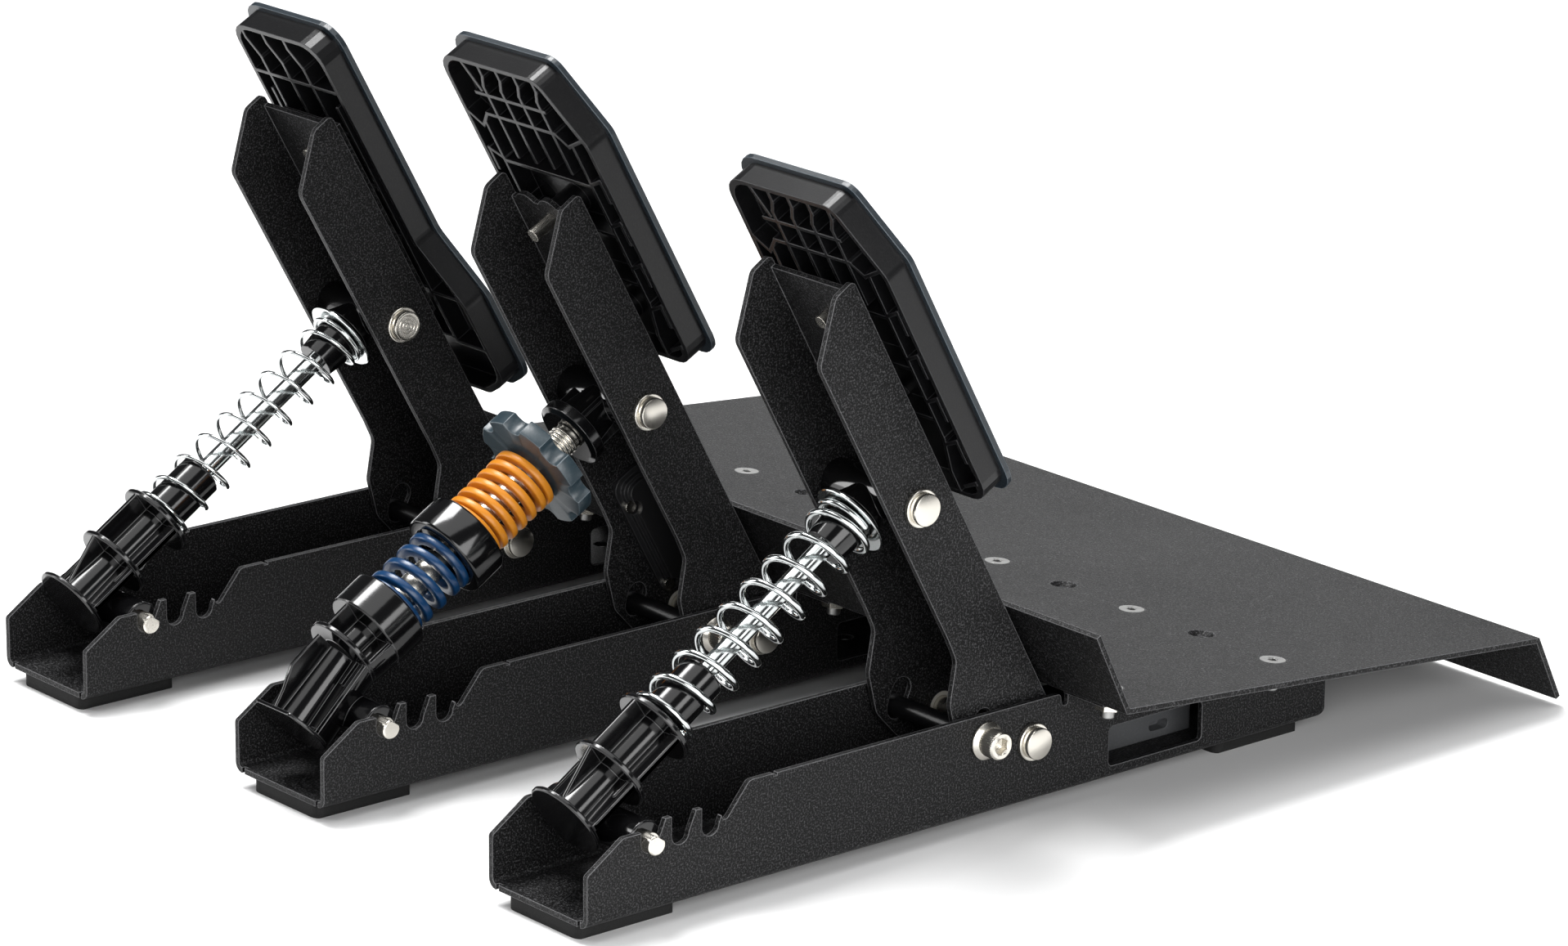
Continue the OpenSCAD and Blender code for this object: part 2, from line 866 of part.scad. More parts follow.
module throttle_ribs() {
    rib_line([-27, -24], [27, -24]);
    for (x = [16, 3, -10]) {
        rib_line([x + 4, -pad_edge], [x + 4, -8]);
        rib_line([x + 4, -8], [x, -16]);
        rib_line([x, -16], [x, -44]);
    }
    for (side = [-1, 1])
        rib_line([side * 20, -32], [side * 20, -throttle_h + 26]);
    for (k = [0:4])
        rib_line([-20, -44 - 24 * k], [20, -44 - 24 * k]);
    rib_line([-20, -142], [-38, -142]);
    rib_line([-20, -118], [-36, -118]);
}

module pad_frame(x, top, kind) {
    color(black)
    difference() {
        union() {
            on_arm(x, top, plate_n, plate_n + pad_skin)
                pad_shape(kind, pad_edge);
            on_arm(x, top, plate_n, frame_n)
                difference() {
                    pad_shape(kind, pad_edge);
                    pad_shape(kind, pad_edge + pad_wall);
                }
            on_arm(x, top, plate_n, frame_n)
                intersection() {
                    pad_shape(kind, pad_edge);
                    pad_ribs(kind);
                }
            for (s = pad_screw_s(kind == 1))
                at_arm(x)
                    translate([0, plate_n, s])
                        rotate([-90, 0, 0])
                            cylinder(d = 11, h = web_n - plate_n);
        }
        for (s = pad_screw_s(kind == 1))
            at_arm(x)
                translate([0, plate_n - cut, s])
                    rotate([-90, 0, 0])
                        cylinder(d = 5.2, h = web_n - plate_n + 2 * cut);
    }
}

module pad_shape(kind, inset) {
    if (kind == 2)
        throttle_outline(inset);
    else
        wide_outline(inset);
}

module pad_ribs(kind) {
    if (kind == 2)
        throttle_ribs();
    else
        wide_ribs();
}

module clutch_pad_frame() { pad_frame(clutch_x, clutch_pad_top, 0); }
module brake_pad_frame() { pad_frame(brake_x, brake_pad_top, 1); }
module throttle_pad_frame() { pad_frame(throttle_x, throttle_pad_top, 2); }

module pad_plate_body(x, top, kind) {
    color("#2b3038")
    difference() {
        on_arm(x, top, plate_n - pad_plate, plate_n)
            pad_shape(kind, 0);
        for (s = pad_screw_s(kind == 1))
            at_arm(x)
                translate([0, plate_n - pad_plate - cut, s])
                    rotate([-90, 0, 0])
                        cylinder(d = 9.4, h = pad_plate + 2 * cut);
    }
}

module clutch_pad_plate() { pad_plate_body(clutch_x, clutch_pad_top, 0); }
module brake_pad_plate() { pad_plate_body(brake_x, brake_pad_top, 1); }
module throttle_pad_plate() { pad_plate_body(throttle_x, throttle_pad_top, 2); }

// Screws from the pad's face through frame and web
module pad_screws(x, kind) {
    tip = kind == 1 ? brake_tip : throttle_tip;
    color(bright)
    at_arm(x)
        for (s = pad_screw_s(kind == 1))
            translate([0, plate_n, s])
                rotate([-90, 0, 0])
                    difference() {
                        union() {
                            cylinder(d = 5, h = web_n - plate_n + sheet + tip);
                            translate([0, 0, -1.8])
                                cylinder(d = 9, h = 1.8);
                        }
                        translate([0, 0, -1.8 - cut])
                            cylinder(d = 3.4, h = 2 + cut, $fn = 6);
                    }
}

module clutch_pad_screws() { pad_screws(clutch_x, 0); }
module brake_pad_screws() { pad_screws(brake_x, 1); }
module throttle_pad_screws() { pad_screws(throttle_x, 2); }

// The strip on which the throttle pad can be set higher or lower
module throttle_slide_plate() {
    color("#4a4d52")
    at_arm(throttle_x)
        difference() {
            translate([-slide_w / 2, web_n - standoff + 0.2, slide_low])
                cube([slide_w, standoff - 0.2, slide_high - slide_low]);
            for (s = pad_screw_s(false))
                translate([0, web_n - standoff - cut, s])
                    rotate([-90, 0, 0])
                        cylinder(d = 11.4, h = standoff + 2 * cut);
        }
}

// Struts

module bore(d, from, to) {
    translate([0, 0, from])
        cylinder(d = d, h = to - from);
}

// Cross-shaped webs round a core: two straight ones along X, and one towards the toes whose
// outline is given in Y and Z
module webs(z0, z1) {
    bore(core_d, z0, z1);
    translate([-web_reach, -web_t / 2, z0])
        cube([2 * web_reach, web_t, z1 - z0]);
    side_plate(-web_t / 2, web_t / 2)
        children();
}

// The square foot that closes a housing below
module housing_foot(z0) {
    translate([-web_reach, -core_d / 2, z0])
        cube([2 * web_reach, core_d, web_t]);
}

// The boss that turns on the lower pin and the webs that carry it
module knuckle(off, half) {
    translate([0, -off, 0])
        cross_rod(knuckle_d, -half, half);
    side_plate(-5, 5)
        polygon([[-off - 2, -4], [0, -5], [0, 17], [-off + 1, 6]]);
}

module long_housing(x) {
    floor_t = -9;
    mid = 11;
    color(black)
    at_strut(x, strut_offset)
        difference() {
            union() {
                webs(floor_t, housing_up)
                    polygon([[-2, floor_t], [core_d / 2, floor_t], [web_reach, mid],
                        [web_reach, housing_up - 1], [-9, housing_up - 1], [-9, mid - 8]]);
                housing_foot(floor_t);
                bore(disc_d, mid, mid + disc_t);
                bore(disc_d, housing_up - disc_t, housing_up);
                bore(guide_d, housing_up, guide_up - 1);
                translate([0, 0, guide_up - 1])
                    cylinder(d1 = guide_d, d2 = guide_d - 2, h = 1);
                knuckle(strut_offset, inner_w / 2 - seat_gap);
            }
            bore(rod_d + 2 * slip, long_low - long_slide - 2, guide_up + cut);
            translate([0, -strut_offset, 0])
                cross_rod(lower_pin_d + 2 * run_fit, -rail_w, rail_w);
        }
}

module clutch_housing() { long_housing(clutch_x); }
module throttle_housing() { long_housing(throttle_x); }

module long_rod(x) {
    color(bright)
    at_strut(x, strut_offset)
        bore(rod_d, long_low, long_len - boss_d / 2 - 4);
}

module clutch_rod() { long_rod(clutch_x); }
module throttle_rod() { long_rod(throttle_x); }

module long_rod_end(x) {
    low = seat_t - 13.3;
    color(black)
    at_strut(x, strut_offset)
        difference() {
            union() {
                translate([0, 0, low])
                    cylinder(d1 = 14.5, d2 = 17.6, h = seat_t - low);
                bore(11, seat_t, long_len);
                translate([0, 0, seat_t + 3])
                    cylinder(d1 = 21, d2 = 14, h = long_len - seat_t - 6);
                translate([0, 0, long_len])
                    cross_rod(boss_d, -arm_in / 2 + seat_gap, arm_in / 2 - seat_gap);
            }
            bore(rod_d, low - cut, long_len - boss_d / 2 - 4);
            translate([0, 0, long_len])
                cross_rod(pivot_d + 2 * run_fit, -arm_w, arm_w);
        }
}

module clutch_rod_end() { long_rod_end(clutch_x); }
module throttle_rod_end() { long_rod_end(throttle_x); }

module seat_washer(x) {
    color(bright)
    at_strut(x, strut_offset)
        difference() {
            union() {
                bore(28, seat_t, seat_t + 1.2);
                translate([0, 0, seat_t + 1.2])
                    cylinder(d1 = 26, d2 = 20, h = 1.8);
            }
            bore(11, seat_t - cut, seat_t + 3 + cut);
        }
}

module clutch_seat_washer() { seat_washer(clutch_x); }
module throttle_seat_washer() { seat_washer(throttle_x); }

// Springs: one unbroken tube along a helix whose end turns lie close together
function coil_height(u, turns, low, high, close) =
    let (dead = 1, rise = (high - low - 2 * dead * close) / (turns - 2 * dead))
    u < dead ? low + u * close
    : u > turns - dead ? high - (turns - u) * close
    : low + dead * close + (u - dead) * rise;

function coil_points(turns, low, high, close, r, wide, tall) =
    [for (i = [0:turns * rings])
        let (u = i / rings, h = coil_height(u, turns, low, high, close))
        for (k = [0:sides - 1])
            let (a = 360 * k / sides, q = r + wide / 2 * cos(a))
            [q * cos(360 * u), q * sin(360 * u), h + tall / 2 * sin(a) / sin(60)]];

function coil_faces(count) = concat(
    [for (k = [1:sides - 2]) [0, k, k + 1]],
    [for (i = [0:count - 2]) for (k = [0:sides - 1])
        let (a = i * sides + k, b = i * sides + (k + 1) % sides)
        each [[a, a + sides, b], [b, a + sides, b + sides]]],
    [for (k = [1:sides - 2])
        let (e = (count - 1) * sides) [e, e + k + 1, e + k]]);

module coil(name, turns, low, high, wide, tall, coil_d) {
    close = tall + 0.6;
    r = swell * (coil_d - wide) / 2;
    pts = coil_points(turns, low + tall / 2, high - tall / 2, close, r, wide, tall);
    count = len(pts) / sides;
    echo(str(name, " least gap ", min([for (i = [0:count - rings - 1])
        for (j = [i + rings - 1:min(count - 1, i + rings + 1)])
            for (k = [0:sides - 1]) for (m = [0:sides - 1])
                norm(pts[i * sides + k] - pts[j * sides + m])])));
    polyhedron(pts, coil_faces(count), convexity = 20);
}

module clutch_spring() {
    color(bright)
    at_strut(clutch_x, strut_offset)
        rotate([0, 0, 180])
            coil("clutch", 10, housing_up + seat_gap, seat_t - seat_gap,
                clutch_wire, clutch_wire, clutch_coil_d);
}

module throttle_spring() {
    color(bright)
    at_strut(throttle_x, strut_offset)
        rotate([0, 0, 180])
            coil("throttle", 10.25, housing_up + seat_gap, seat_t - seat_gap,
                throttle_wire, throttle_wire, throttle_coil_d);
}

module brake_lower_spring() {
    color("#1f4fa3")
    at_strut(brake_x, brake_offset)
        coil("brake lower", 5, cup_top - 1.5, collar_low + 1.2, 2.9, 2.8, brake_coil_d);
}

module brake_upper_spring() {
    color("#e0a13a")
    at_strut(brake_x, brake_offset)
        coil("brake upper", 7, collar_top - 1.5, wheel_low - seat_gap, 2.9, 3.2, brake_coil_d - 0.3);
}

// Brake strut

module brake_housing() {
    floor_t = -20;
    mid = 10.1;
    color(black)
    at_strut(brake_x, brake_offset)
        difference() {
            union() {
                webs(floor_t, cup_low + 1)
                    polygon([[-2, floor_t], [core_d / 2, floor_t], [web_reach - 1.5, -7],
                        [web_reach, mid], [web_reach, cup_low + 1], [-2, cup_low + 1]]);
                housing_foot(floor_t);
                bore(core_d + 2, floor_t, cup_low + 1);
                bore(disc_d, mid, mid + disc_t);
                bore(cup_d, cup_low, cup_top);
                intersection() {
                    bore(disc_d, -12, cup_low + 1);
                    translate([-cup_d / 2, -cup_d / 2, -12])
                        cube([cup_d, cup_d / 2, cup_low + 13]);
                }
                knuckle(brake_offset, inner_w / 2 - seat_gap);
            }
            bore(coil_seat_d, cup_top - 1.8, cup_top + cut);
            bore(brake_rod_d + 2 * slip, brake_low - brake_slide - 2, cup_top + cut);
            translate([0, -brake_offset, 0])
                cross_rod(lower_pin_d + 2 * run_fit, -rail_w, rail_w);
        }
}

module brake_rod() {
    color(bright)
    at_strut(brake_x, brake_offset)
        union() {
            bore(brake_rod_d, brake_low, boot_low + 6);
            bore(11.4, wheel_low + wheel_h + 1.2, boot_low);
        }
}

module brake_rod_end() {
    color(black)
    at_strut(brake_x, brake_offset)
        difference() {
            union() {
                bore(26, boot_low + 1, boot_low + 5);
                translate([0, 0, boot_low])
                    cylinder(d1 = 22, d2 = 26, h = 1);
                translate([0, 0, boot_low + 5])
                    cylinder(d1 = 19, d2 = 15, h = brake_len - boot_low - 7);
                for (turn = [0:3])
                    rotate([0, 0, 90 * turn + 45])
                        translate([0, -0.8, boot_low + 2])
                            cube([11, 1.6, brake_len - boot_low - 8]);
                translate([0, 0, brake_len])
                    cross_rod(boss_d, -arm_in / 2 + seat_gap, arm_in / 2 - seat_gap);
            }
            bore(brake_rod_d, boot_low - cut, boot_low + 6);
            translate([0, 0, brake_len])
                cross_rod(pivot_d + 2 * run_fit, -arm_w, arm_w);
        }
}

module brake_collar() {
    color(black)
    at_strut(brake_x, brake_offset)
        difference() {
            union() {
                bore(collar_d, collar_low + 1, collar_top - 1);
                translate([0, 0, collar_low])
                    cylinder(d1 = collar_d - 2, d2 = collar_d, h = 1);
                translate([0, 0, collar_top - 1])
                    cylinder(d1 = collar_d, d2 = collar_d - 2, h = 1);
            }
            bore(brake_rod_d + 2 * slip, collar_low - cut, collar_top + cut);
            bore(coil_seat_d, collar_low - cut, collar_low + 1.5);
            bore(coil_seat_d, collar_top - 1.8, collar_top + cut);
        }
}

module brake_wheel() {
    notch = 9;
    color("#5d6b73")
    at_strut(brake_x, brake_offset)
        translate([0, 0, wheel_low])
            difference() {
                cylinder(d = wheel_d, h = wheel_h);
                for (k = [0:wheel_lobes - 1])
                    rotate([0, 0, 360 * k / wheel_lobes + 10])
                        translate([wheel_d / 2 + 1.2, 0, -cut])
                            cylinder(d = notch, h = wheel_h + 2 * cut);
                translate([0, 0, -cut])
                    cylinder(d = brake_rod_d + 2 * run_fit, h = wheel_h + 2 * cut);
            }
}

// Domed cover of the brake's angle sensor, on the inside of the arm
module cover_outline(inset) {
    back = web_n + sheet + 1 + inset;
    front = cover_front - inset;
    r = 5.5 - inset / 2;
    polygon(rounded([[front, cover_low + inset, r], [front, cover_high - inset, r],
        [back, cover_high - inset, r], [back, cover_low + inset, r]]));
}

module brake_cover() {
    dome = 4;
    color(black)
    at_arm(brake_x)
        difference() {
            union() {
                side_plate(arm_in / 2 - cover_skin, arm_in / 2)
                    cover_outline(0);
                side_plate(arm_in / 2 - cover_skin - dome / 2, arm_in / 2 - cover_skin)
                    cover_outline(2);
                side_plate(arm_in / 2 - cover_skin - dome, arm_in / 2 - cover_skin - dome / 2)
                    cover_outline(3.4);
            }
            for (c = cover_screws)
                translate([0, c.x, c.y])
                    cross_rod(6, 0, arm_in / 2 - cover_skin);
        }
}

module brake_cover_screws() {
    color(bright)
    at_arm(brake_x)
        for (c = cover_screws)
            translate([0, c.x, c.y])
                cross_rod(4.6, arm_in / 2 - cover_skin - 1.4, arm_in / 2 - cover_skin);
}

heel_plate();
clutch_rail();
brake_rail();
throttle_rail();
rubber_feet();
plate_screws();
plate_nuts();
pivot_pins();
pivot_rings();
stop_bolts();
stop_sleeves();
stop_washers();
stop_nuts();
lower_pins();
controller_box();
sensor_boards();
clutch_arm();
clutch_bushes();
clutch_magnet();
clutch_pad_frame();
clutch_pad_plate();
clutch_pad_screws();
clutch_upper_pin();
clutch_upper_rings();
clutch_housing();
clutch_rod();
clutch_rod_end();
clutch_seat_washer();
clutch_spring();
brake_arm();
brake_bushes();
brake_magnet();
brake_pad_frame();
brake_pad_plate();
brake_pad_screws();
brake_upper_pin();
brake_upper_rings();
brake_housing();
brake_rod();
brake_rod_end();
brake_lower_spring();
brake_upper_spring();
brake_collar();
brake_wheel();
brake_cover();
brake_cover_screws();
throttle_arm();
throttle_bushes();
throttle_magnet();
throttle_pad_frame();
throttle_pad_plate();
throttle_pad_screws();
throttle_upper_pin();
throttle_upper_rings();
throttle_housing();
throttle_rod();
throttle_rod_end();
throttle_seat_washer();
throttle_spring();
throttle_slide_plate();
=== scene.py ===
import math
import bmesh
import bpy
import numpy as np
from mathutils import Matrix


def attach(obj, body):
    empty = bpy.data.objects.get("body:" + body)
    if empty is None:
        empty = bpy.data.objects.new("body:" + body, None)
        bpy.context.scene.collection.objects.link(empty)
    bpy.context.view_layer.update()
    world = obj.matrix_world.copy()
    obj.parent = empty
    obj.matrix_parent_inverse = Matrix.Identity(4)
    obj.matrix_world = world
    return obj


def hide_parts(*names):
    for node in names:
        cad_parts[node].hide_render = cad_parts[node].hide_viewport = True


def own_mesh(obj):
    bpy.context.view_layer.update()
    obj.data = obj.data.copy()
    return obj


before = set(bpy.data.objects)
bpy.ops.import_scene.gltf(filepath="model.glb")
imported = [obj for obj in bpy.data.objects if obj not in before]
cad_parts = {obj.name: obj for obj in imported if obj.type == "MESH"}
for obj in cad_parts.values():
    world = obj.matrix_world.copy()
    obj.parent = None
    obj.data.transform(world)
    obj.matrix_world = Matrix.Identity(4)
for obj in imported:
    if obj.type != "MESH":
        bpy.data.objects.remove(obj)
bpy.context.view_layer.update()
mm = 0.001
print("frame loaded:", len(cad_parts), "nodes")

# the set's main places in mm and degrees, as the solids have them
rig = {
    "railMiddles": {"clutch": -144.0, "brake": 0.0, "throttle": 144.0},
    "pivot": (18.2076, 28.3), "lowerPin": (185.5076, 30.4),
    "upperPin": (67.6458, 120.3765), "stopBolt": (39.2076, 33.1),
    "railHalf": 26.0, "armHalf": 21.9,
    "strutAngle": {"clutch": 33.104, "brake": 31.358, "throttle": 33.104},
    "strutOffset": {"clutch": 11.0, "brake": 15.5, "throttle": 11.0},
    "plateSlope": 4.84, "screwRows": ((-8.4924, 44.7754), (-86.9424, 38.1325)),
    "screwSide": 36.0,
}
pedals = list(rig["railMiddles"])
longStruts = ("clutch", "throttle")


# frames and meshes

def makeFrame(origin, xAxis, yAxis, zAxis):
    # a 4 x 3 table: three axes and the origin, in mm
    return np.array([xAxis, yAxis, zAxis, origin], float)


plainFrame = makeFrame((0, 0, 0), (1, 0, 0), (0, 1, 0), (0, 0, 1))


def strutFrame(pedal):
    # Z runs up the strut's axis from beside the lower pin
    a = math.radians(rig["strutAngle"][pedal])
    off = rig["strutOffset"][pedal]
    y, z = rig["lowerPin"]
    return makeFrame(
        (rig["railMiddles"][pedal], y + off * math.sin(a), z + off * math.cos(a)),
        (1, 0, 0), (0, math.sin(a), math.cos(a)), (0, -math.cos(a), math.sin(a)))


def leanFrame(pedal, lean, height):
    # the strut's frame turned about X at a height, so that its lower end swings to the pin
    x, y, z, at = strutFrame(pedal)
    a = math.radians(lean)
    return makeFrame(at + height * z, x, math.cos(a) * y - math.sin(a) * z,
                     math.cos(a) * z + math.sin(a) * y)


def pinFrame(pedal, spot):
    # Z points out of the clutch's side, where the pin heads are
    return makeFrame((rig["railMiddles"][pedal], *rig[spot]), (0, 0, 1), (0, 1, 0), (-1, 0, 0))


def plateFrame(x, row):
    # Z points out of the heel plate's top at a screw
    slope = math.radians(rig["plateSlope"])
    return makeFrame((x, *row), (1, 0, 0), (0, math.cos(slope), math.sin(slope)),
                     (0, -math.sin(slope), math.cos(slope)))


def intoFrame(points, place):
    # each point is the origin plus its three values along the axes
    return points @ place[:3] + place[3]


def gridFaces(rows, columns):
    # quads between neighbouring rows; the last column meets the first
    i, j = np.meshgrid(np.arange(rows - 1), np.arange(columns), indexing="ij")
    k = (j + 1) % columns
    low, high = i * columns, (i + 1) * columns
    return np.stack([low + j, low + k, high + k, high + j], -1).reshape(-1, 4)


def revolve(profile, place, around=64, hexness=None, ripple=None):
    # radius r and height h of each ring turned about Z: (r cos a, r sin a, h); a ring's
    # hexness draws its circle out to the hexagon round it, and its ripple adds r w cos(n a)
    r, h = np.array(profile, float).T
    angle = np.linspace(0, 2 * np.pi, around, endpoint=False)
    shape = np.ones((len(r), around))
    if hexness is not None:
        w = np.array(hexness, float)[:, None]
        shape = (1 - w) + w / np.cos((angle % (np.pi / 3)) - np.pi / 6)
    if ripple is not None:
        depth, count = ripple
        shape = shape + np.array(depth, float)[:, None] * np.cos(count * angle)
    ring = r[:, None] * shape
    height = np.repeat(h[:, None], around, 1)
    points = np.stack([ring * np.cos(angle), ring * np.sin(angle), height], -1)
    return intoFrame(points.reshape(-1, 3), place), gridFaces(len(r), around)


def weld(parts):
    # joins the points and faces of several surfaces
    points, faces, start = [], [], 0
    for p, f in parts:
        points.append(p)
        faces.append(f + start)
        start += len(p)
    return np.concatenate(points), np.concatenate(faces)


meshing = {"mergeWithin": 2e-6, "smoothTo": 35.0}


def makePiece(name, parts, finish, body, replaced, smoothTo=meshing["smoothTo"]):
    # one mesh of welded parts, which rides on a body and stands for a solid
    points, faces = weld(parts)
    mesh = bpy.data.meshes.new(name)
    mesh.from_pydata((points * mm).tolist(), [], faces.tolist())
    work = bmesh.new()
    work.from_mesh(mesh)
    bmesh.ops.remove_doubles(work, verts=work.verts, dist=meshing["mergeWithin"])
    bmesh.ops.recalc_face_normals(work, faces=work.faces)
    limit = math.radians(smoothTo)
    for edge in work.edges:
        edge.smooth = edge.calc_face_angle(0.0) < limit
    for face in work.faces:
        face.smooth = True
    work.to_mesh(mesh)
    work.free()
    piece = bpy.data.objects.new(name, mesh)
    bpy.context.scene.collection.objects.link(piece)
    piece.data.materials.append(finishes[finish])
    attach(piece, body)
    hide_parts(*replaced)
    return piece


# shader groups shared by the finishes

def addNode(tree, kind, **settings):
    node = tree.nodes.new("ShaderNode" + kind)
    for key, value in settings.items():
        setattr(node, key, value)
    return node


def setInputs(node, **values):
    # an underscore stands for the space in an input's name
    for key, value in values.items():
        node.inputs[key.replace("_", " ")].default_value = value
    return node


def newGroup(name, inputs, outputs):
    # inputs are numbers with a first value; outputs are named with their kind of socket
    tree = bpy.data.node_groups.new(name, "ShaderNodeTree")
    for label, value in inputs.items():
        socket = tree.interface.new_socket(name=label, in_out="INPUT",
                                           socket_type="NodeSocketFloat")
        socket.default_value = value
    for label, kind in outputs.items():
        tree.interface.new_socket(name=label, in_out="OUTPUT", socket_type="NodeSocket" + kind)
    return tree, tree.nodes.new("NodeGroupInput"), tree.nodes.new("NodeGroupOutput")


grainLook = {"detail": 2.0, "mix": 0.6, "peelScale": 240.0, "driftScale": 14.0,
             "specksFrom": 0.50, "specksTo": 0.72}


def makeGrainGroup():
    # fine pimples of powder coat over a slow orange peel, and a mask of its brighter grains
    s = grainLook
    tree, given, out = newGroup("coatGrain", {"Scale": 1500.0, "Peel": 0.35},
                                {"Height": "Float", "Specks": "Float", "Drift": "Float"})
    spot = addNode(tree, "TexCoord")
    fine = setInputs(addNode(tree, "TexNoise"), Detail=s["detail"], Roughness=s["mix"])
    slow = setInputs(addNode(tree, "TexNoise"), Scale=s["peelScale"], Detail=1.0)
    drift = setInputs(addNode(tree, "TexNoise"), Scale=s["driftScale"], Detail=3.0)
    specks = setInputs(addNode(tree, "MapRange"), From_Min=s["specksFrom"], From_Max=s["specksTo"])
    peel = addNode(tree, "Math", operation="MULTIPLY")
    height = addNode(tree, "Math", operation="ADD")
    link = tree.links.new
    for texture in (fine, slow, drift):
        link(spot.outputs["Object"], texture.inputs["Vector"])
    link(given.outputs["Scale"], fine.inputs["Scale"])
    link(slow.outputs["Fac"], peel.inputs[0])
    link(given.outputs["Peel"], peel.inputs[1])
    link(fine.outputs["Fac"], height.inputs[0])
    link(peel.outputs[0], height.inputs[1])
    link(fine.outputs["Fac"], specks.inputs["Value"])
    link(height.outputs[0], out.inputs["Height"])
    link(specks.outputs["Result"], out.inputs["Specks"])
    link(drift.outputs["Fac"], out.inputs["Drift"])
    return tree


edgeLook = {"samples": 6, "flat": 0.995, "turned": 0.80}


def makeEdgeGroup():
    # the normal as if the edges were rounded to a radius, and how far it turns from the face,
    # which the coats use as the mask of their painted edge highlight
    s = edgeLook
    tree, given, out = newGroup("softEdges", {"Radius": 0.0004},
                                {"Normal": "Vector", "Edge": "Float"})
    rounded = addNode(tree, "Bevel", samples=s["samples"])
    face = addNode(tree, "NewGeometry")
    dot = addNode(tree, "VectorMath", operation="DOT_PRODUCT")
    edge = setInputs(addNode(tree, "MapRange"), From_Min=s["flat"], From_Max=s["turned"])
    link = tree.links.new
    link(given.outputs["Radius"], rounded.inputs["Radius"])
    link(rounded.outputs["Normal"], dot.inputs[0])
    link(face.outputs["Normal"], dot.inputs[1])
    link(dot.outputs["Value"], edge.inputs["Value"])
    link(rounded.outputs["Normal"], out.inputs["Normal"])
    link(edge.outputs["Result"], out.inputs["Edge"])
    return tree


scratchLook = {"stretch": (0.06, 1.0, 1.0), "lineMix": 0.7, "smudgeScale": 90.0, "smudgeMix": 0.6}


def makeScratchGroup():
    # fine marks drawn out along one way, and soft smudges, for plated and turned steel
    s = scratchLook
    tree, given, out = newGroup("fineScratches", {"Scale": 1500.0},
                                {"Height": "Float", "Smudge": "Float"})
    spot = addNode(tree, "TexCoord")
    stretch = setInputs(addNode(tree, "Mapping"), Scale=s["stretch"])
    lines = setInputs(addNode(tree, "TexNoise"), Detail=3.0, Roughness=s["lineMix"])
    smudge = setInputs(addNode(tree, "TexNoise"), Scale=s["smudgeScale"], Detail=4.0,
                       Roughness=s["smudgeMix"])
    link = tree.links.new
    link(spot.outputs["Object"], stretch.inputs["Vector"])
    link(stretch.outputs["Vector"], lines.inputs["Vector"])
    link(spot.outputs["Object"], smudge.inputs["Vector"])
    link(given.outputs["Scale"], lines.inputs["Scale"])
    link(lines.outputs["Fac"], out.inputs["Height"])
    link(smudge.outputs["Fac"], out.inputs["Smudge"])
    return tree


coatGrain, softEdges, fineScratches = makeGrainGroup(), makeEdgeGroup(), makeScratchGroup()


# finishes

def placeGroup(tree, group, **values):
    node = addNode(tree, "Group")
    node.node_tree = group
    return setInputs(node, **values)


def spread(tree, source, low, high):
    # carries a 0 to 1 value to a range
    node = setInputs(addNode(tree, "MapRange"), To_Min=low, To_Max=high)
    tree.links.new(source, node.inputs["Value"])
    return node.outputs["Result"]


def blendColour(tree, amount, low, high):
    node = setInputs(addNode(tree, "Mix", data_type="RGBA"), A=(*low, 1), B=(*high, 1))
    tree.links.new(amount, node.inputs["Factor"])
    return node.outputs["Result"]


def newFinish(name):
    finish = bpy.data.materials.new(name)
    finish.use_nodes = True
    tree = finish.node_tree
    return finish, tree, tree.nodes["Principled BSDF"]


def addBump(tree, skin, height, edges, strength, depth):
    # the relief stands on the normal of the softened edges
    bump = setInputs(addNode(tree, "Bump"), Strength=strength, Distance=depth)
    tree.links.new(height, bump.inputs["Height"])
    tree.links.new(edges.outputs["Normal"], bump.inputs["Normal"])
    tree.links.new(bump.outputs["Normal"], skin.inputs["Normal"])


bumpDepth = {"coat": 0.00025, "metal": 0.00005}


def coatFinish(name, s):
    # the colour goes from plain to bright at the edges, as a painted highlight, and at bright
    # grains
    finish, tree, skin = newFinish(name)
    grain = placeGroup(tree, coatGrain, Scale=s["grain"], Peel=s["peel"])
    edges = placeGroup(tree, softEdges, Radius=s["round"])
    # painted highlight: the edge mask lifts the colour towards bright at the edges, and the specks
    # lift it at bright grains
    highlightAndGrain = addNode(tree, "Math", operation="MULTIPLY_ADD")
    highlightAndGrain.inputs[1].default_value = s["paintedEdgeHighlight"]
    speck = addNode(tree, "Math", operation="MULTIPLY")
    speck.inputs[1].default_value = s["speckLift"]
    link = tree.links.new
    link(grain.outputs["Specks"], speck.inputs[0])
    link(edges.outputs["Edge"], highlightAndGrain.inputs[0])
    link(speck.outputs[0], highlightAndGrain.inputs[2])
    colour = blendColour(tree, highlightAndGrain.outputs[0], s["colour"], s["bright"])
    link(colour, skin.inputs["Base Color"])
    link(spread(tree, grain.outputs["Drift"], *s["roughness"]), skin.inputs["Roughness"])
    addBump(tree, skin, grain.outputs["Height"], edges, s["bump"], bumpDepth["coat"])
    skin.inputs["Specular IOR Level"].default_value = s["specular"]
    return finish


def metalFinish(name, s):
    # colour and roughness both follow the smudges
    finish, tree, skin = newFinish(name)
    marks = placeGroup(tree, fineScratches, Scale=s["marks"])
    edges = placeGroup(tree, softEdges, Radius=s["round"])
    smudge = marks.outputs["Smudge"]
    link = tree.links.new
    link(blendColour(tree, smudge, s["colour"], s["bright"]), skin.inputs["Base Color"])
    link(spread(tree, smudge, *s["roughness"]), skin.inputs["Roughness"])
    addBump(tree, skin, marks.outputs["Height"], edges, s["bump"], bumpDepth["metal"])
    skin.inputs["Metallic"].default_value = 1.0
    return finish
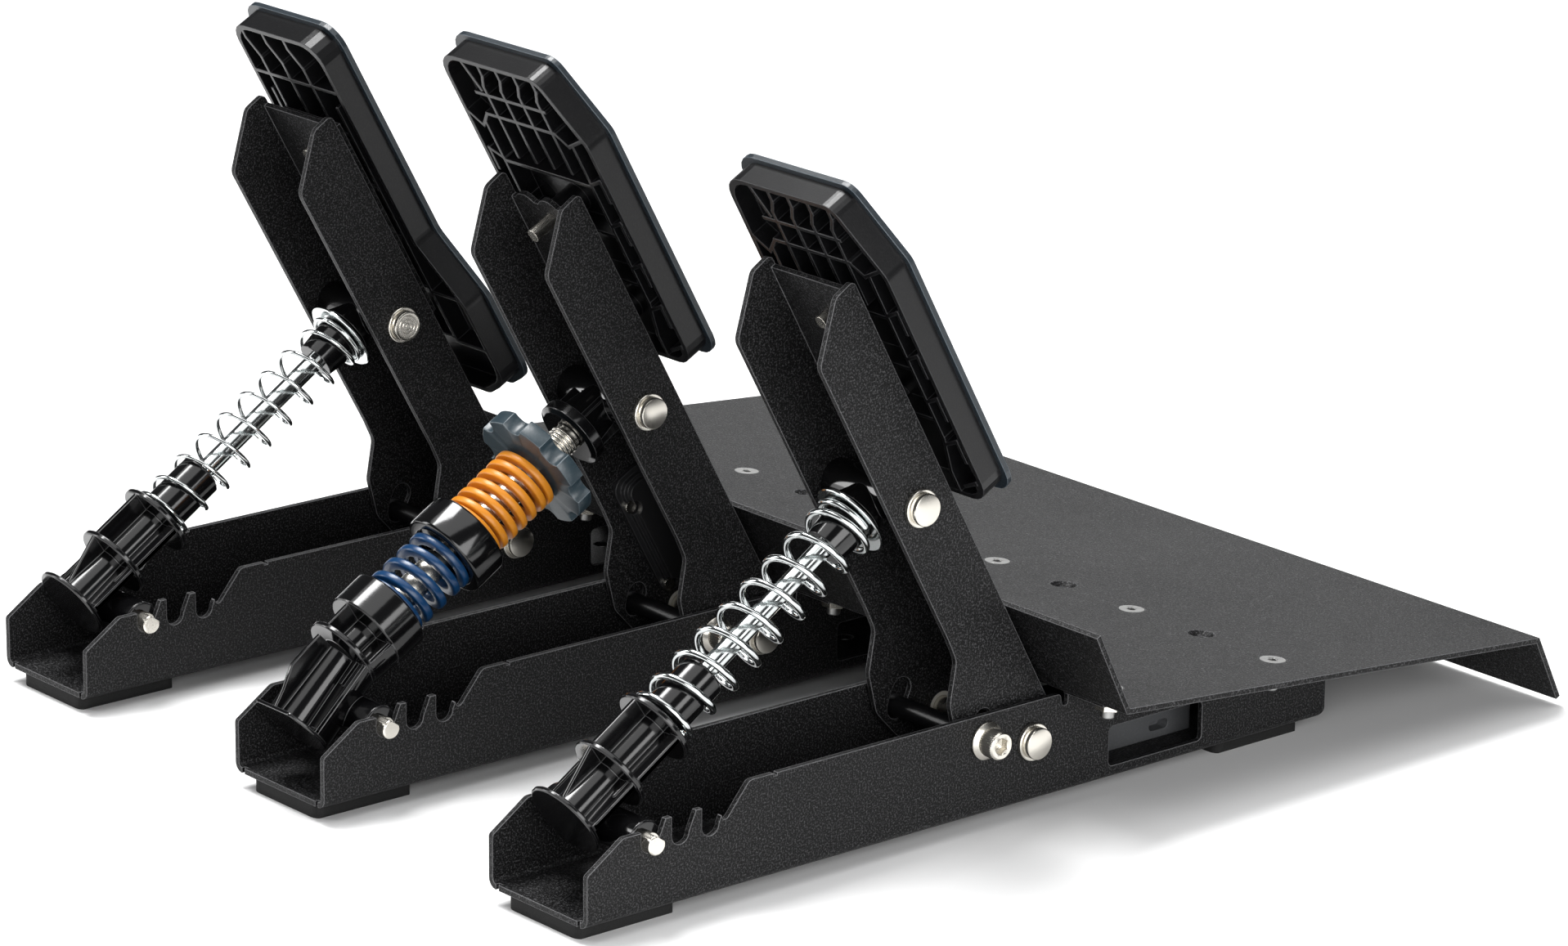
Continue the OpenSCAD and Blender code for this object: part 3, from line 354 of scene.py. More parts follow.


# each coat's bright colour is its painted edge highlight and also the colour of its bright grains
coats = {
    "powderBlack": {
        "colour": (0.0045, 0.0045, 0.0047), "bright": (0.30, 0.30, 0.31), "grain": 1500.0,
        "peel": 0.35, "round": 0.0006, "paintedEdgeHighlight": 0.75, "speckLift": 0.26,
        "roughness": (0.40, 0.52), "bump": 0.9, "specular": 0.16},
    "mouldedBlack": {
        "colour": (0.003, 0.003, 0.0033), "bright": (0.12, 0.12, 0.125), "grain": 500.0,
        "peel": 1.0, "round": 0.0005, "paintedEdgeHighlight": 0.6, "speckLift": 0.0,
        "roughness": (0.09, 0.14), "bump": 0.03, "specular": 0.6},
    "satinBlack": {
        "colour": (0.004, 0.004, 0.0045), "bright": (0.10, 0.10, 0.105), "grain": 1400.0,
        "peel": 0.6, "round": 0.0005, "paintedEdgeHighlight": 0.60, "speckLift": 0.05,
        "roughness": (0.24, 0.34), "bump": 0.12, "specular": 0.35},
    "coverBlack": {
        "colour": (0.018, 0.018, 0.019), "bright": (0.08, 0.08, 0.085), "grain": 1400.0,
        "peel": 0.6, "round": 0.0006, "paintedEdgeHighlight": 0.6, "speckLift": 0.05,
        "roughness": (0.34, 0.44), "bump": 0.12, "specular": 0.5},
    "footRubber": {
        "colour": (0.012, 0.012, 0.012), "bright": (0.05, 0.05, 0.05), "grain": 1500.0,
        "peel": 0.5, "round": 0.0008, "paintedEdgeHighlight": 0.25, "speckLift": 0.10,
        "roughness": (0.70, 0.82), "bump": 0.35, "specular": 0.3},
    "padDark": {
        "colour": (0.010, 0.016, 0.022), "bright": (0.16, 0.21, 0.25), "grain": 1800.0,
        "peel": 0.4, "round": 0.0005, "paintedEdgeHighlight": 0.8, "speckLift": 0.12,
        "roughness": (0.28, 0.38), "bump": 0.25, "specular": 0.6},
    "springYellow": {
        "colour": (0.66, 0.235, 0.012), "bright": (0.95, 0.50, 0.12), "grain": 700.0,
        "peel": 1.0, "round": 0.0005, "paintedEdgeHighlight": 0.6, "speckLift": 0.05,
        "roughness": (0.28, 0.40), "bump": 0.10, "specular": 0.5},
    "springBlue": {
        "colour": (0.002, 0.034, 0.105), "bright": (0.10, 0.24, 0.44), "grain": 700.0,
        "peel": 1.0, "round": 0.0005, "paintedEdgeHighlight": 0.7, "speckLift": 0.05,
        "roughness": (0.22, 0.34), "bump": 0.10, "specular": 0.5},
    "nylon": {
        "colour": (0.62, 0.60, 0.54), "bright": (0.70, 0.68, 0.62), "grain": 900.0,
        "peel": 1.0, "round": 0.0003, "paintedEdgeHighlight": 0.2, "speckLift": 0.05,
        "roughness": (0.40, 0.50), "bump": 0.08, "specular": 0.5},
    "boardGreen": {
        "colour": (0.01, 0.10, 0.04), "bright": (0.05, 0.22, 0.10), "grain": 600.0,
        "peel": 0.6, "round": 0.0002, "paintedEdgeHighlight": 0.2, "speckLift": 0.3,
        "roughness": (0.30, 0.40), "bump": 0.1, "specular": 0.5},
    "boxGrey": {
        "colour": (0.085, 0.088, 0.092), "bright": (0.20, 0.20, 0.21), "grain": 1600.0,
        "peel": 0.5, "round": 0.0004, "paintedEdgeHighlight": 0.3, "speckLift": 0.15,
        "roughness": (0.40, 0.50), "bump": 0.2, "specular": 0.5},
    "zincBlue": {
        "colour": (0.022, 0.042, 0.055), "bright": (0.34, 0.40, 0.44), "grain": 900.0,
        "peel": 0.8, "round": 0.0006, "paintedEdgeHighlight": 0.8, "speckLift": 0.05,
        "roughness": (0.30, 0.40), "bump": 0.12, "specular": 0.8},
}
metals = {
    "nickel": {
        "colour": (0.66, 0.63, 0.57), "bright": (0.80, 0.77, 0.70), "marks": 1800.0,
        "round": 0.0003, "roughness": (0.20, 0.32), "bump": 0.04},
    "screwSteel": {
        "colour": (0.27, 0.27, 0.265), "bright": (0.42, 0.42, 0.41), "marks": 1800.0,
        "round": 0.0003, "roughness": (0.30, 0.42), "bump": 0.04},
    "springSteel": {
        "colour": (0.52, 0.55, 0.55), "bright": (0.72, 0.74, 0.74), "marks": 1500.0,
        "round": 0.0001, "roughness": (0.10, 0.18), "bump": 0.03},
}
finishes = {name: coatFinish(name, s) for name, s in coats.items()}
finishes.update({name: metalFinish(name, s) for name, s in metals.items()})
print("finishes made:", len(finishes))

# the solids' finishes; what isn't listed is powder coated, or a piece made below replaces it
paintOf = {
    "mouldedBlack": [p + "_rod_end" for p in pedals],
    "padDark": [p + "_pad_plate" for p in pedals],
    "nylon": [p + "_bushes" for p in pedals],
    "satinBlack": [p + n for p in pedals for n in ("_magnet", "_pad_frame")] + ["stop_sleeves"],
    "coverBlack": ["brake_cover"],
    "footRubber": ["rubber_feet"],
    "boxGrey": ["controller_box"],
    "boardGreen": ["sensor_boards"],
    "nickel": [p + "_pad_screws" for p in pedals] + ["plate_nuts", "brake_cover_screws"],
}


def paintNode(node, finish):
    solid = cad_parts[node]
    if not solid.material_slots:
        solid.data.materials.append(finishes[finish])
    for place in solid.material_slots:
        place.material = finishes[finish]


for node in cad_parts:
    paintNode(node, "powderBlack")
for finish, nodes in paintOf.items():
    for node in nodes:
        paintNode(node, finish)


# springs; low and high are heights on the strut, slide is how much the travel takes off

longCoil = {"low": 35.25, "high": 133.75, "square": 2.0, "start": 180.0, "slide": 27.35,
            "finish": "springSteel", "slot": "nickel"}
brakeCoil = {"pedal": "brake", "joint": "brake_press", "wide": 4.0, "square": 5.0,
             "start": 0.0}
coils = {
    "clutch": {**longCoil, "pedal": "clutch", "joint": "clutch_press",
               "body": "clutch_strut", "node": "clutch_spring", "turns": 10.0,
               "outside": 23.5, "wide": 2.4, "tall": 2.4},
    "throttle": {**longCoil, "pedal": "throttle", "joint": "throttle_press",
                 "body": "throttle_strut", "node": "throttle_spring", "turns": 10.25,
                 "outside": 22.0, "wide": 1.6, "tall": 1.6},
    "brakeLower": {**brakeCoil, "body": "brake_strut", "node": "brake_lower_spring",
                   "low": 33.6, "high": 63.3, "turns": 5.0, "outside": 25.0, "tall": 2.9,
                   "slide": 8.0, "finish": "springBlue", "slot": "spring_blue"},
    "brakeUpper": {**brakeCoil, "body": "brake_collar_body", "node": "brake_upper_spring",
                   "low": 73.7, "high": 106.9, "turns": 7.0, "outside": 24.8, "tall": 2.8,
                   "slide": 6.6, "finish": "springYellow", "slot": "spring_yellow"},
}
winding = {"perTurn": 72, "around": 20, "endPitch": 1.04, "smoothOver": 9, "tip": 0.86,
           "tipReach": 0.12, "smoothTo": 80.0}


def coilSurface(s, place):
    # height rises slowly in the end turns and evenly between; a section |x/a|^n + |y/b|^n = 1
    # is carried along the helix square to its tangent, and its ends shrink to a point
    u = np.linspace(0, s["turns"], int(s["turns"] * winding["perTurn"]) + 1)
    low, high = s["low"] + s["tall"] / 2, s["high"] - s["tall"] / 2
    tight = s["tall"] * winding["endPitch"]
    free = (high - low - 2 * tight) / (s["turns"] - 2)
    ease = lambda w: np.where(w < 1, tight * w, tight + (w - 1) * free)
    h = np.where(u < s["turns"] / 2, low + ease(u), high - ease(s["turns"] - u))
    n = winding["smoothOver"]
    padded = np.pad(h, n, mode="reflect", reflect_type="odd")
    h = np.convolve(padded, np.ones(2 * n + 1) / (2 * n + 1), mode="valid")
    radius = (s["outside"] - s["wide"]) / 2
    angle = 2 * np.pi * u + math.radians(s["start"])
    centre = np.stack([radius * np.cos(angle), radius * np.sin(angle), h], -1)
    tangent = np.gradient(centre, axis=0)
    tangent /= np.linalg.norm(tangent, axis=1)[:, None]
    outward = np.stack([np.cos(angle), np.sin(angle), 0 * angle], -1)
    upward = np.cross(outward, tangent)
    upward *= np.sign(upward[:, 2:3])
    v = np.linspace(0, 2 * np.pi, winding["around"], endpoint=False)
    power = 2 / s["square"]
    x = s["wide"] / 2 * np.sign(np.cos(v)) * np.abs(np.cos(v)) ** power
    y = s["tall"] / 2 * np.sign(np.sin(v)) * np.abs(np.sin(v)) ** power
    grow = np.ones(len(u))
    grow[[0, -1]] = 0.0
    grow[[1, -2]] = winding["tip"]
    centre[0] = centre[1] - winding["tipReach"] * tangent[1]
    centre[-1] = centre[-2] + winding["tipReach"] * tangent[-2]
    section = x[:, None] * outward[:, None] + y[:, None] * upward[:, None]
    points = centre[:, None] + grow[:, None, None] * section
    return intoFrame(points.reshape(-1, 3), place), gridFaces(len(u), winding["around"])


for name, s in coils.items():
    place = strutFrame(s["pedal"])
    piece = makePiece(name + "Spring", [coilSurface(s, place)], s["finish"], s["body"],
                      [s["node"]], winding["smoothTo"])
    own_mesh(piece)
print("springs wound:", len(coils))


# pins and rings

pinHead = {"shank": 4.0, "head": 5.65, "headHeight": 2.6, "tail": 1.5, "tailEdge": 0.5,
           "soft": 0.45, "grooves": (4.1, 2.6, 1.2), "grooveMouth": 0.28, "grooveFloor": 0.14,
           "grooveDepth": 0.16, "ring": 6.75, "ringHeight": 2.0, "ringEdge": 0.3}


def pinSurface(half, place, grooves):
    # a shank through both walls and a soft-edged head, with turned grooves in its face
    s = pinHead
    shank, head, edge = s["shank"], s["head"], s["tailEdge"]
    face = half + s["ringHeight"]
    top, end = face + s["headHeight"], -face - s["tail"]
    profile = [(0, end), (shank - edge, end), (shank, end + edge), (shank, face),
               (head - 0.1, face), (head, face + 0.15), (head, top - s["soft"]),
               (head - 0.15, top - 0.14), (head - s["soft"], top)]
    mouth, floor, depth = s["grooveMouth"], s["grooveFloor"], s["grooveDepth"]
    for r in grooves:
        profile += [(r + mouth, top), (r + floor, top - depth), (r - floor, top - depth),
                    (r - mouth, top)]
    return revolve(profile + [(0, top)], place)


def ringSurface(half, side, place):
    # a collar's section with cut edges, turned about the pin
    s = pinHead
    low, high = sorted((side * half, side * (half + s["ringHeight"])))
    inner, outer, edge = s["shank"], s["ring"], s["ringEdge"]
    profile = [(inner, low), (outer - edge, low), (outer, low + edge), (outer, high - edge),
               (outer - edge, high), (inner + edge, high), (inner, high - edge), (inner, low)]
    return revolve(profile, place)


def makePins(label, places, half, body, pinNode, ringNode, grooves=()):
    makePiece(label + "Pin", [pinSurface(half, place, grooves) for place in places], "nickel",
              body, [pinNode])
    makePiece(label + "Rings", [ringSurface(half, side, place) for place in places
                                for side in (1, -1)], "nickel", body, [ringNode])


makePins("pivot", [pinFrame(p, "pivot") for p in pedals], rig["railHalf"], "base",
         "pivot_pins", "pivot_rings")
for p in pedals:
    makePins(p + "Upper", [pinFrame(p, "upperPin")], rig["armHalf"], p + "_pedal",
             p + "_upper_pin", p + "_upper_rings", pinHead["grooves"] if p == "throttle" else ())


# stop bolts, their washers and nuts

capScrew = {"head": 5.0, "height": 6.0, "shank": 3.0, "key": 2.5, "socket": 3.0, "washer": 2.2,
            "nut": 5.0, "tail": 2.0, "edge": 0.5, "knurls": 36, "knurlDepth": 0.016}
coneWasher = {"outside": 6.75, "edge": 0.25, "rim": 1.0, "cone": ((6.6, 1.15), (5.35, 2.05)),
              "top": 5.1}


def capScrewSurface(place):
    # the head's knurl is a ripple that fades out at its edges; the socket is a hexagon
    s = capScrew
    shank, head, key, edge = s["shank"], s["head"], s["key"], s["edge"]
    seat = rig["railHalf"] + s["washer"]
    top, end = seat + s["height"], -seat - s["nut"] - s["tail"]
    bottom = top - s["socket"]
    profile = [(0, end), (shank - edge, end), (shank, end + edge), (shank, seat),
               (head - 0.4, seat), (head, seat + 0.4), (head, top - 0.9),
               (head - 0.1, top - 0.55), (head - 0.6, top), (key + 0.55, top),
               (key + 0.1, top - 0.3), (key, top - 0.5), (key, bottom), (0, bottom - 0.6)]
    hexness = [0] * 10 + [0.9, 1, 1, 0]
    knurl = [0] * 5 + [s["knurlDepth"]] * 2 + [0] * 7
    return revolve(profile, place, around=216, hexness=hexness, ripple=(knurl, s["knurls"]))


def coneWasherSurface(side, place):
    # a flat rim and a cone, turned about the bolt and mirrored for the other wall
    s = coneWasher
    inner, outer, edge, high = capScrew["shank"], s["outside"], s["edge"], capScrew["washer"]
    profile = np.array([(inner, 0), (outer - edge, 0), (outer, edge), (outer, s["rim"]),
                        *s["cone"], (s["top"], high), (inner, high), (inner, 0)], float)
    profile[:, 1] = side * (rig["railHalf"] + profile[:, 1])
    return revolve(profile, place)


def hexNutSurface(place):
    # a hexagon between two round faces
    s = capScrew
    inner, flat = s["shank"], s["head"]
    high = -rig["railHalf"] - s["washer"]
    low = high - s["nut"]
    profile = [(inner, high), (flat, high), (flat, high - 0.01), (flat, low + 0.6),
               (flat - 0.5, low), (inner + 0.3, low), (inner, low + 0.3), (inner, high)]
    return revolve(profile, place, around=72, hexness=[0, 0, 1, 1, 0, 0, 0, 0])


boltPlaces = [pinFrame(p, "stopBolt") for p in pedals]
makePiece("stopBolts", [capScrewSurface(place) for place in boltPlaces], "nickel", "base",
          ["stop_bolts"])
makePiece("stopWashers", [coneWasherSurface(side, place) for place in boltPlaces
                          for side in (1, -1)], "nickel", "base", ["stop_washers"])
makePiece("stopNuts", [hexNutSurface(place) for place in boltPlaces], "nickel", "base",
          ["stop_nuts"])


# the struts' lower pins

strutPin = {"radius": 3.5, "reach": 30.0, "edge": 0.5, "flat": 2.5, "flatFrom": 26.5,
            "flatTurn": 35.0}


def strutPinSurface(place):
    # a plain pin whose two ends are cut to a flat: there, no point stands past the flat's plane
    s = strutPin
    r, reach, edge, start = s["radius"], s["reach"], s["edge"], s["flatFrom"]
    profile = [(0, -reach), (r - edge, -reach), (r, -reach + edge), (r, -start),
               (r, -start + 0.02), (r, start - 0.02), (r, start), (r, reach - edge),
               (r - edge, reach), (0, reach)]
    points, faces = revolve(profile, plainFrame)
    turn = math.radians(s["flatTurn"])
    away = np.array([math.cos(turn), -math.sin(turn), 0.0])
    past = points @ away - s["flat"]
    past = np.where((np.abs(points[:, 2]) >= start) & (past > 0), past, 0)
    return intoFrame(points - past[:, None] * away, place), faces


makePiece("strutPins", [strutPinSurface(pinFrame(p, "lowerPin")) for p in pedals], "nickel",
          "base", ["lower_pins"])


# the heel plate's screws

plateScrew = {"shank": 2.5, "head": 4.8, "key": 1.5, "depth": 1.5, "length": 11.0, "lobes": 6,
              "lobeDepth": 0.17, "edge": 0.4}


def plateScrewSurface(place):
    # a countersunk head; the key's recess is a circle whose radius swings six times round
    s = plateScrew
    shank, head, key, edge = s["shank"], s["head"], s["key"], s["edge"]
    end, bottom = -s["length"], -s["depth"]
    profile = [(0, end), (shank - edge, end), (shank, end + edge), (shank, shank - head),
               (head - 0.12, -0.15), (head - 0.1, -0.02), (head - 0.3, 0), (key + 0.35, 0),
               (key, -0.15), (key, bottom), (0, bottom - 0.3)]
    swing = [0] * 8 + [s["lobeDepth"]] * 2 + [0]
    return revolve(profile, place, around=72, ripple=(swing, s["lobes"]))


screwPlaces = [plateFrame(x + side * rig["screwSide"], row) for x in rig["railMiddles"].values()
               for side in (-1, 1) for row in rig["screwRows"]]
makePiece("plateScrews", [plateScrewSurface(place) for place in screwPlaces], "screwSteel",
          "base", ["plate_screws"])
print("pins and screws turned")


# surfaces of the moulded strut housings

def plateSurface(outline, low, high, centre, place, soft=0.3):
    # a flat plate across X: its outline in Y and Z at six depths, drawn in by soft at both
    # faces and closed to one point on each
    outline, centre = np.array(outline, float), np.array(centre, float)
    inward = centre - outline
    small = outline + inward * (soft / np.linalg.norm(inward, axis=1))[:, None]
    middle = np.repeat(centre[None], len(outline), 0)
    rows = ((middle, low), (small, low), (outline, low + soft), (outline, high - soft),
            (small, high), (middle, high))
    points = [np.column_stack([np.full(len(outline), x), ring]) for ring, x in rows]
    return intoFrame(np.concatenate(points), place), gridFaces(len(rows), len(outline))


def blockSurface(x, y, z, place, soft=0.25):
    # a box between two values in each direction
    (y0, y1), (z0, z1) = y, z
    return plateSurface([(y0, z0), (y1, z0), (y1, z1), (y0, z1)], *x,
                        ((y0 + y1) / 2, (z0 + z1) / 2), place, soft)


def sideSpan(side, inner, outer):
    # the values of X between two distances from the middle, on one side
    return tuple(sorted((side * inner, side * outer)))


def discSurface(radius, low, high, place, hole=0.0, edge=0.45, around=96):
    # a turned disc with cut edges, with or without a bore
    profile = [(hole, low), (radius - edge, low), (radius, low + edge), (radius, high - edge),
               (radius - edge, high), (hole, high)]
    return revolve(profile + ([(hole, low)] if hole else []), place, around)


def shellSurface(rings, place, arc=48, chord=12):
    # a half-round body: each ring is the part of a circle below the line y = cut, at height z
    rows = []
    for radius, cut, z in rings:
        start = math.asin(cut / radius)
        a = np.linspace(start, -np.pi - start, arc)
        across = np.linspace(-1, 1, chord + 2)[1:-1] * radius * math.cos(start)
        x = np.concatenate([radius * np.cos(a), across])
        y = np.concatenate([radius * np.sin(a), np.full(chord, cut)])
        rows.append(np.column_stack([x, y, np.full(arc + chord, z)]))
    ends = [np.repeat(np.array([[0, row[:, 1].mean(), row[0, 2]]]), arc + chord, 0)
            for row in (rows[0], rows[-1])]
    points = np.concatenate([ends[0]] + rows + [ends[1]])
    return intoFrame(points, place), gridFaces(len(rows) + 2, arc + chord)


def halfPipeSurface(profile, cut, place, arc=64):
    # a closed profile of radii and heights turned about Z below the line y = cut, where both
    # ends are closed to the profile's middle
    r, h = np.array(profile, float).T
    start = math.asin(cut / r.max())
    angle = np.linspace(start, -np.pi - start, arc)[:, None]
    rows = np.stack([r * np.cos(angle), r * np.sin(angle), np.repeat(h[None], arc, 0)], -1)
    ends = [np.repeat(row.mean(axis=0)[None], len(r), 0) for row in (rows[0], rows[-1])]
    points = np.concatenate([ends[0], rows.reshape(-1, 3), ends[1]])
    return intoFrame(points, place), gridFaces(arc + 2, len(r))


# what the three housings share: a core, discs, thin webs and the boss on the lower pin

moulding = {"core": 6.5, "wall": 0.85, "disc": 14.5, "discHeight": 2.1, "lip": 1.2,
            "boss": 6.75, "bossHalf": 23.7, "bossEdge": 0.5, "neck": 5.0, "neckTop": 12.0}


def bossSurfaces(pedal, place):
    # the boss on the lower pin and the neck that carries it
    m, off = moulding, rig["strutOffset"][pedal]
    boss = discSurface(m["boss"], -m["bossHalf"], m["bossHalf"], pinFrame(pedal, "lowerPin"),
                       edge=m["bossEdge"], around=72)
    neck = [(-off - 2, -4), (0, -5), (0, m["neckTop"]), (-off + 1, 6)]
    return [boss, plateSurface(neck, -m["neck"], m["neck"], (-off / 2, 3), place)]


# clutch and throttle housings; heights are on the strut, reaches from its axis

longHousing = {"foot": -9.0, "footHeight": 1.8, "mid": 11.0, "top": 35.2, "tube": 8.2,
               "tubeTop": 59.0, "bore": 4.4, "boreWall": 0.8, "flare": 1.0, "toeFoot": 6.6,
               "inset": 0.2, "band": 3.7, "bandHigh": 1.5, "footBand": 3.4,
               "strip": (3.2, 4.2), "stripLong": 7.0, "toeMiddles": ((4, 4), (9, 23))}


def longHousingSurfaces(pedal):
    # a core with three discs, a web to the toes, a web to each side with a raised border
    m, s, place = moulding, longHousing, strutFrame(pedal)
    foot, mid, top, tube, high = s["foot"], s["mid"], s["top"], s["tube"], s["tubeTop"]
    disc, core, w, bore = m["disc"], m["core"], m["wall"], s["bore"]
    over, under = mid + m["discHeight"], top - m["discHeight"]
    root, reach, raised = bore + s["boreWall"], disc - s["inset"], (-w, s["bandHigh"])
    lowMiddle, highMiddle = s["toeMiddles"]
    stem = [(0, foot - 0.5), (core + s["flare"], foot - 0.5), (core, mid), (core, top - 1),
            (tube, top - 1), (tube, high - 0.9), (tube - 0.9, high), (bore + 0.4, high),
            (bore, high - 0.4), (bore, over), (0, over)]
    toeLow = [(0, foot), (s["toeFoot"], foot), (disc - 0.5, mid), (0, mid)]
    toeHigh = [(root, over), (disc - 0.4, over), (disc - 0.4, under), (root, under)]
    parts = [discSurface(disc, foot - s["footHeight"], foot, place),
             discSurface(disc, mid, over, place), discSurface(disc, under, top, place, root),
             revolve(stem, place, around=96), plateSurface(toeLow, -w, w, lowMiddle, place),
             plateSurface(toeHigh, -w, w, highMiddle, place)]
    for side in (-1, 1):
        edge = sideSpan(side, reach - m["lip"], reach)
        band = sideSpan(side, reach - s["band"], reach)
        footBand = sideSpan(side, reach - s["footBand"], reach)
        strip = sideSpan(side, *(disc - inset for inset in s["strip"]))
        parts += [blockSurface(sideSpan(side, 0, reach), (-w, w), (foot, mid), place),
                  blockSurface(sideSpan(side, root, reach), (-w, w), (over, under), place),
                  blockSurface(edge, raised, (foot, mid), place),
                  blockSurface(footBand, raised, (foot, foot + m["lip"]), place),
                  blockSurface(strip, raised, (mid - s["stripLong"], mid), place),
                  blockSurface(band, raised, (over, under), place)]
    return parts + bossSurfaces(pedal, place)


# brake housing; below the middle disc, heights are on the leaning axis

brakeHousing = {"lean": 12.5, "foot": -28.6, "footHeight": 1.3, "footEdge": 0.4,
                "footFront": 11.0, "mid": 10.1, "cupLow": 22.1, "cupTop": 35.6, "cup": 15.6,
                "cupBore": 13.6, "cupDepth": 2.5, "bore": 5.4, "boreWall": 0.2, "flare": 1.2,
                "inset": 0.3, "footBand": 3.5, "strip": (3.8, 5.0), "stripFoot": -9.5,
                "cupBand": (0.2, 1.4), "edgeSpan": (-1.5, 1.2), "stripSpan": (-1.5, 1.4),
                "cupSpan": (-1.5, 0.6), "backCut": -0.6, "sink": 0.6, "stemSink": 0.5,
                "shellInset": 0.1, "shellCuts": (-0.3, -0.1), "shellTop": 0.3,
                "toeFoot": 10.8, "toe": ((12.4, -22.4), (15.6, -14.1), (14.6, -6)),
                "toeTop": (13.4, 0.2), "toeMiddles": ((6, -13), (9, 17))}


def brakeHousingSurfaces():
    # straight above the middle disc, leaning below it; half-round behind and open in front
    m, s, place = moulding, brakeHousing, strutFrame("brake")
    low = leanFrame("brake", s["lean"], s["mid"])
    foot, mid, cup, bore = s["foot"], s["mid"], s["cup"], s["bore"]
    disc, core, w = m["disc"], m["core"], m["wall"]
    over, under, high, b = mid + m["discHeight"], s["cupLow"], s["cupTop"], s["cupBore"]
    root, reach, floor = bore + s["boreWall"], disc - s["inset"], high - s["cupDepth"]
    sole, soleFaces = discSurface(disc, foot - s["footHeight"], foot, plainFrame,
                                  edge=s["footEdge"])
    sole[:, 1] = np.minimum(sole[:, 1], s["footFront"])
    lowMiddle, highMiddle = s["toeMiddles"]
    backLow, backHigh = over - s["sink"], under + s["sink"]
    back = [(root, backLow), (disc, backLow), (cup - 0.2, backHigh), (root, backHigh)]
    stemLow, stemHigh = over - s["stemSink"], under + s["stemSink"]
    stem = [(bore, stemLow), (core, stemLow), (core, stemHigh), (bore, stemHigh),
            (bore, stemLow)]
    shell, (lowCut, highCut) = disc - s["shellInset"], s["shellCuts"]
    toeLow = [(0, foot), (s["toeFoot"], foot), *s["toe"], s["toeTop"], (0, s["toeTop"][1])]
    toeHigh = [(root, over), (disc - 0.5, over), (disc - 0.3, under), (root, under)]
    bowl = [(bore, under), (cup - 0.5, under), (cup, under + 0.5), (cup, high - 0.8),
            (cup - 0.8, high), (b + 0.3, high), (b, high - 0.3), (b, floor), (bore, floor),
            (bore, under)]
    parts = [(intoFrame(sole, low), soleFaces), discSurface(disc, mid, over, place),
             shellSurface([(shell, lowCut, foot), (shell, highCut, s["shellTop"])], low),
             halfPipeSurface(back, s["backCut"], place),
             revolve([(0, foot), (core + s["flare"], foot), (core, 0), (0, 0)], low, around=96),
             revolve(stem, place, around=96), plateSurface(toeLow, -w, w, lowMiddle, low),
             plateSurface(toeHigh, -w, w, highMiddle, place),
             revolve(bowl, place, around=120)]
    for side in (-1, 1):
        edge = sideSpan(side, reach - m["lip"], reach)
        footBand = sideSpan(side, reach - s["footBand"], reach)
        strip = sideSpan(side, *(disc - inset for inset in s["strip"]))
        cupBand = sideSpan(side, *(disc - inset for inset in s["cupBand"]))
        parts += [blockSurface(edge, s["edgeSpan"], (foot, 0), low),
                  blockSurface(footBand, s["edgeSpan"], (foot, foot + m["lip"]), low),
                  blockSurface(strip, s["stripSpan"], (s["stripFoot"], 0), low),
                  blockSurface(cupBand, s["cupSpan"], (over, under), place)]
    return parts + bossSurfaces("brake", place)


for p in longStruts:
    makePiece(p + "Housing", longHousingSurfaces(p), "mouldedBlack", p + "_strut",
              [p + "_housing"])
makePiece("brakeHousing", brakeHousingSurfaces(), "mouldedBlack", "brake_strut",
          ["brake_housing"])
print("housings moulded")


# clutch and throttle rods and their spring seats

longRod = {"radius": 3.5, "low": 41.0, "high": 136.0, "edge": 0.6}
seat = {"low": 133.8, "bore": 5.5, "lip": 14.0, "lipEdge": 0.4, "step": 11.2, "cone": 8.6}


def longRodSurface(place):
    # a cylinder with a cut lower edge
    s = longRod
    r, low, high, edge = s["radius"], s["low"], s["high"], s["edge"]
    return revolve([(0, low), (r - edge, low), (r, low + edge), (r, high), (0, high)], place)


def seatSurface(place):
    # a turned spring seat: a thin lip that the wire bears on, a step and a cone above it
    s = seat
    b, lip, edge, step, z = s["bore"], s["lip"], s["lipEdge"], s["step"], s["low"]
    profile = [(b, z), (lip - edge, z), (lip, z + 0.3), (lip, z + 0.9), (lip - edge, z + 1.2),
               (step + 0.4, z + 1.3), (step, z + 1.55), (step, z + 2.1), (step - 0.4, z + 2.35),
               (s["cone"], z + 2.9), (b + 0.4, z + 3.0), (b, z + 2.7), (b, z)]
    return revolve(profile, place, around=96)


for p in longStruts:
    makePiece(p + "Rod", [longRodSurface(strutFrame(p))], "springSteel", p + "_plunger",
              [p + "_rod"])
    makePiece(p + "Seat", [seatSurface(strutFrame(p))], "springSteel", p + "_plunger",
              [p + "_seat_washer"])


# brake rod, collar and star wheel

brakeRod = {"radius": 5.0, "low": 27.0, "high": 132.0, "edge": 0.6, "threadRadius": 5.7,
            "threadDepth": 0.55, "threadLow": 114.7, "threadHigh": 126.0, "pitch": 1.5}


def brakeRodSurface(place):
    # the thread is a row of rings one pitch apart
    s = brakeRod
    r, low, high, edge = s["radius"], s["low"], s["high"], s["edge"]
    crest, root = s["threadRadius"], s["threadRadius"] - s["threadDepth"]
    profile = [(0, low), (r - edge, low), (r, low + edge), (r, s["threadLow"])]
    for k in range(int((s["threadHigh"] - s["threadLow"]) / s["pitch"])):
        z = s["threadLow"] + k * s["pitch"]
        profile += [(root, z + 0.02), (crest, z + 0.55), (crest, z + 0.95), (root, z + 1.48)]
    return revolve(profile + [(r, s["threadHigh"]), (r, high), (0, high)], place)


springCollar = {"outside": 16.4, "low": 62.0, "high": 75.3, "bore": 5.9, "pocket": 12.7,
                "lowPocket": 1.5, "highPocket": 1.8, "soft": 1.1, "edgeSteps": 6}


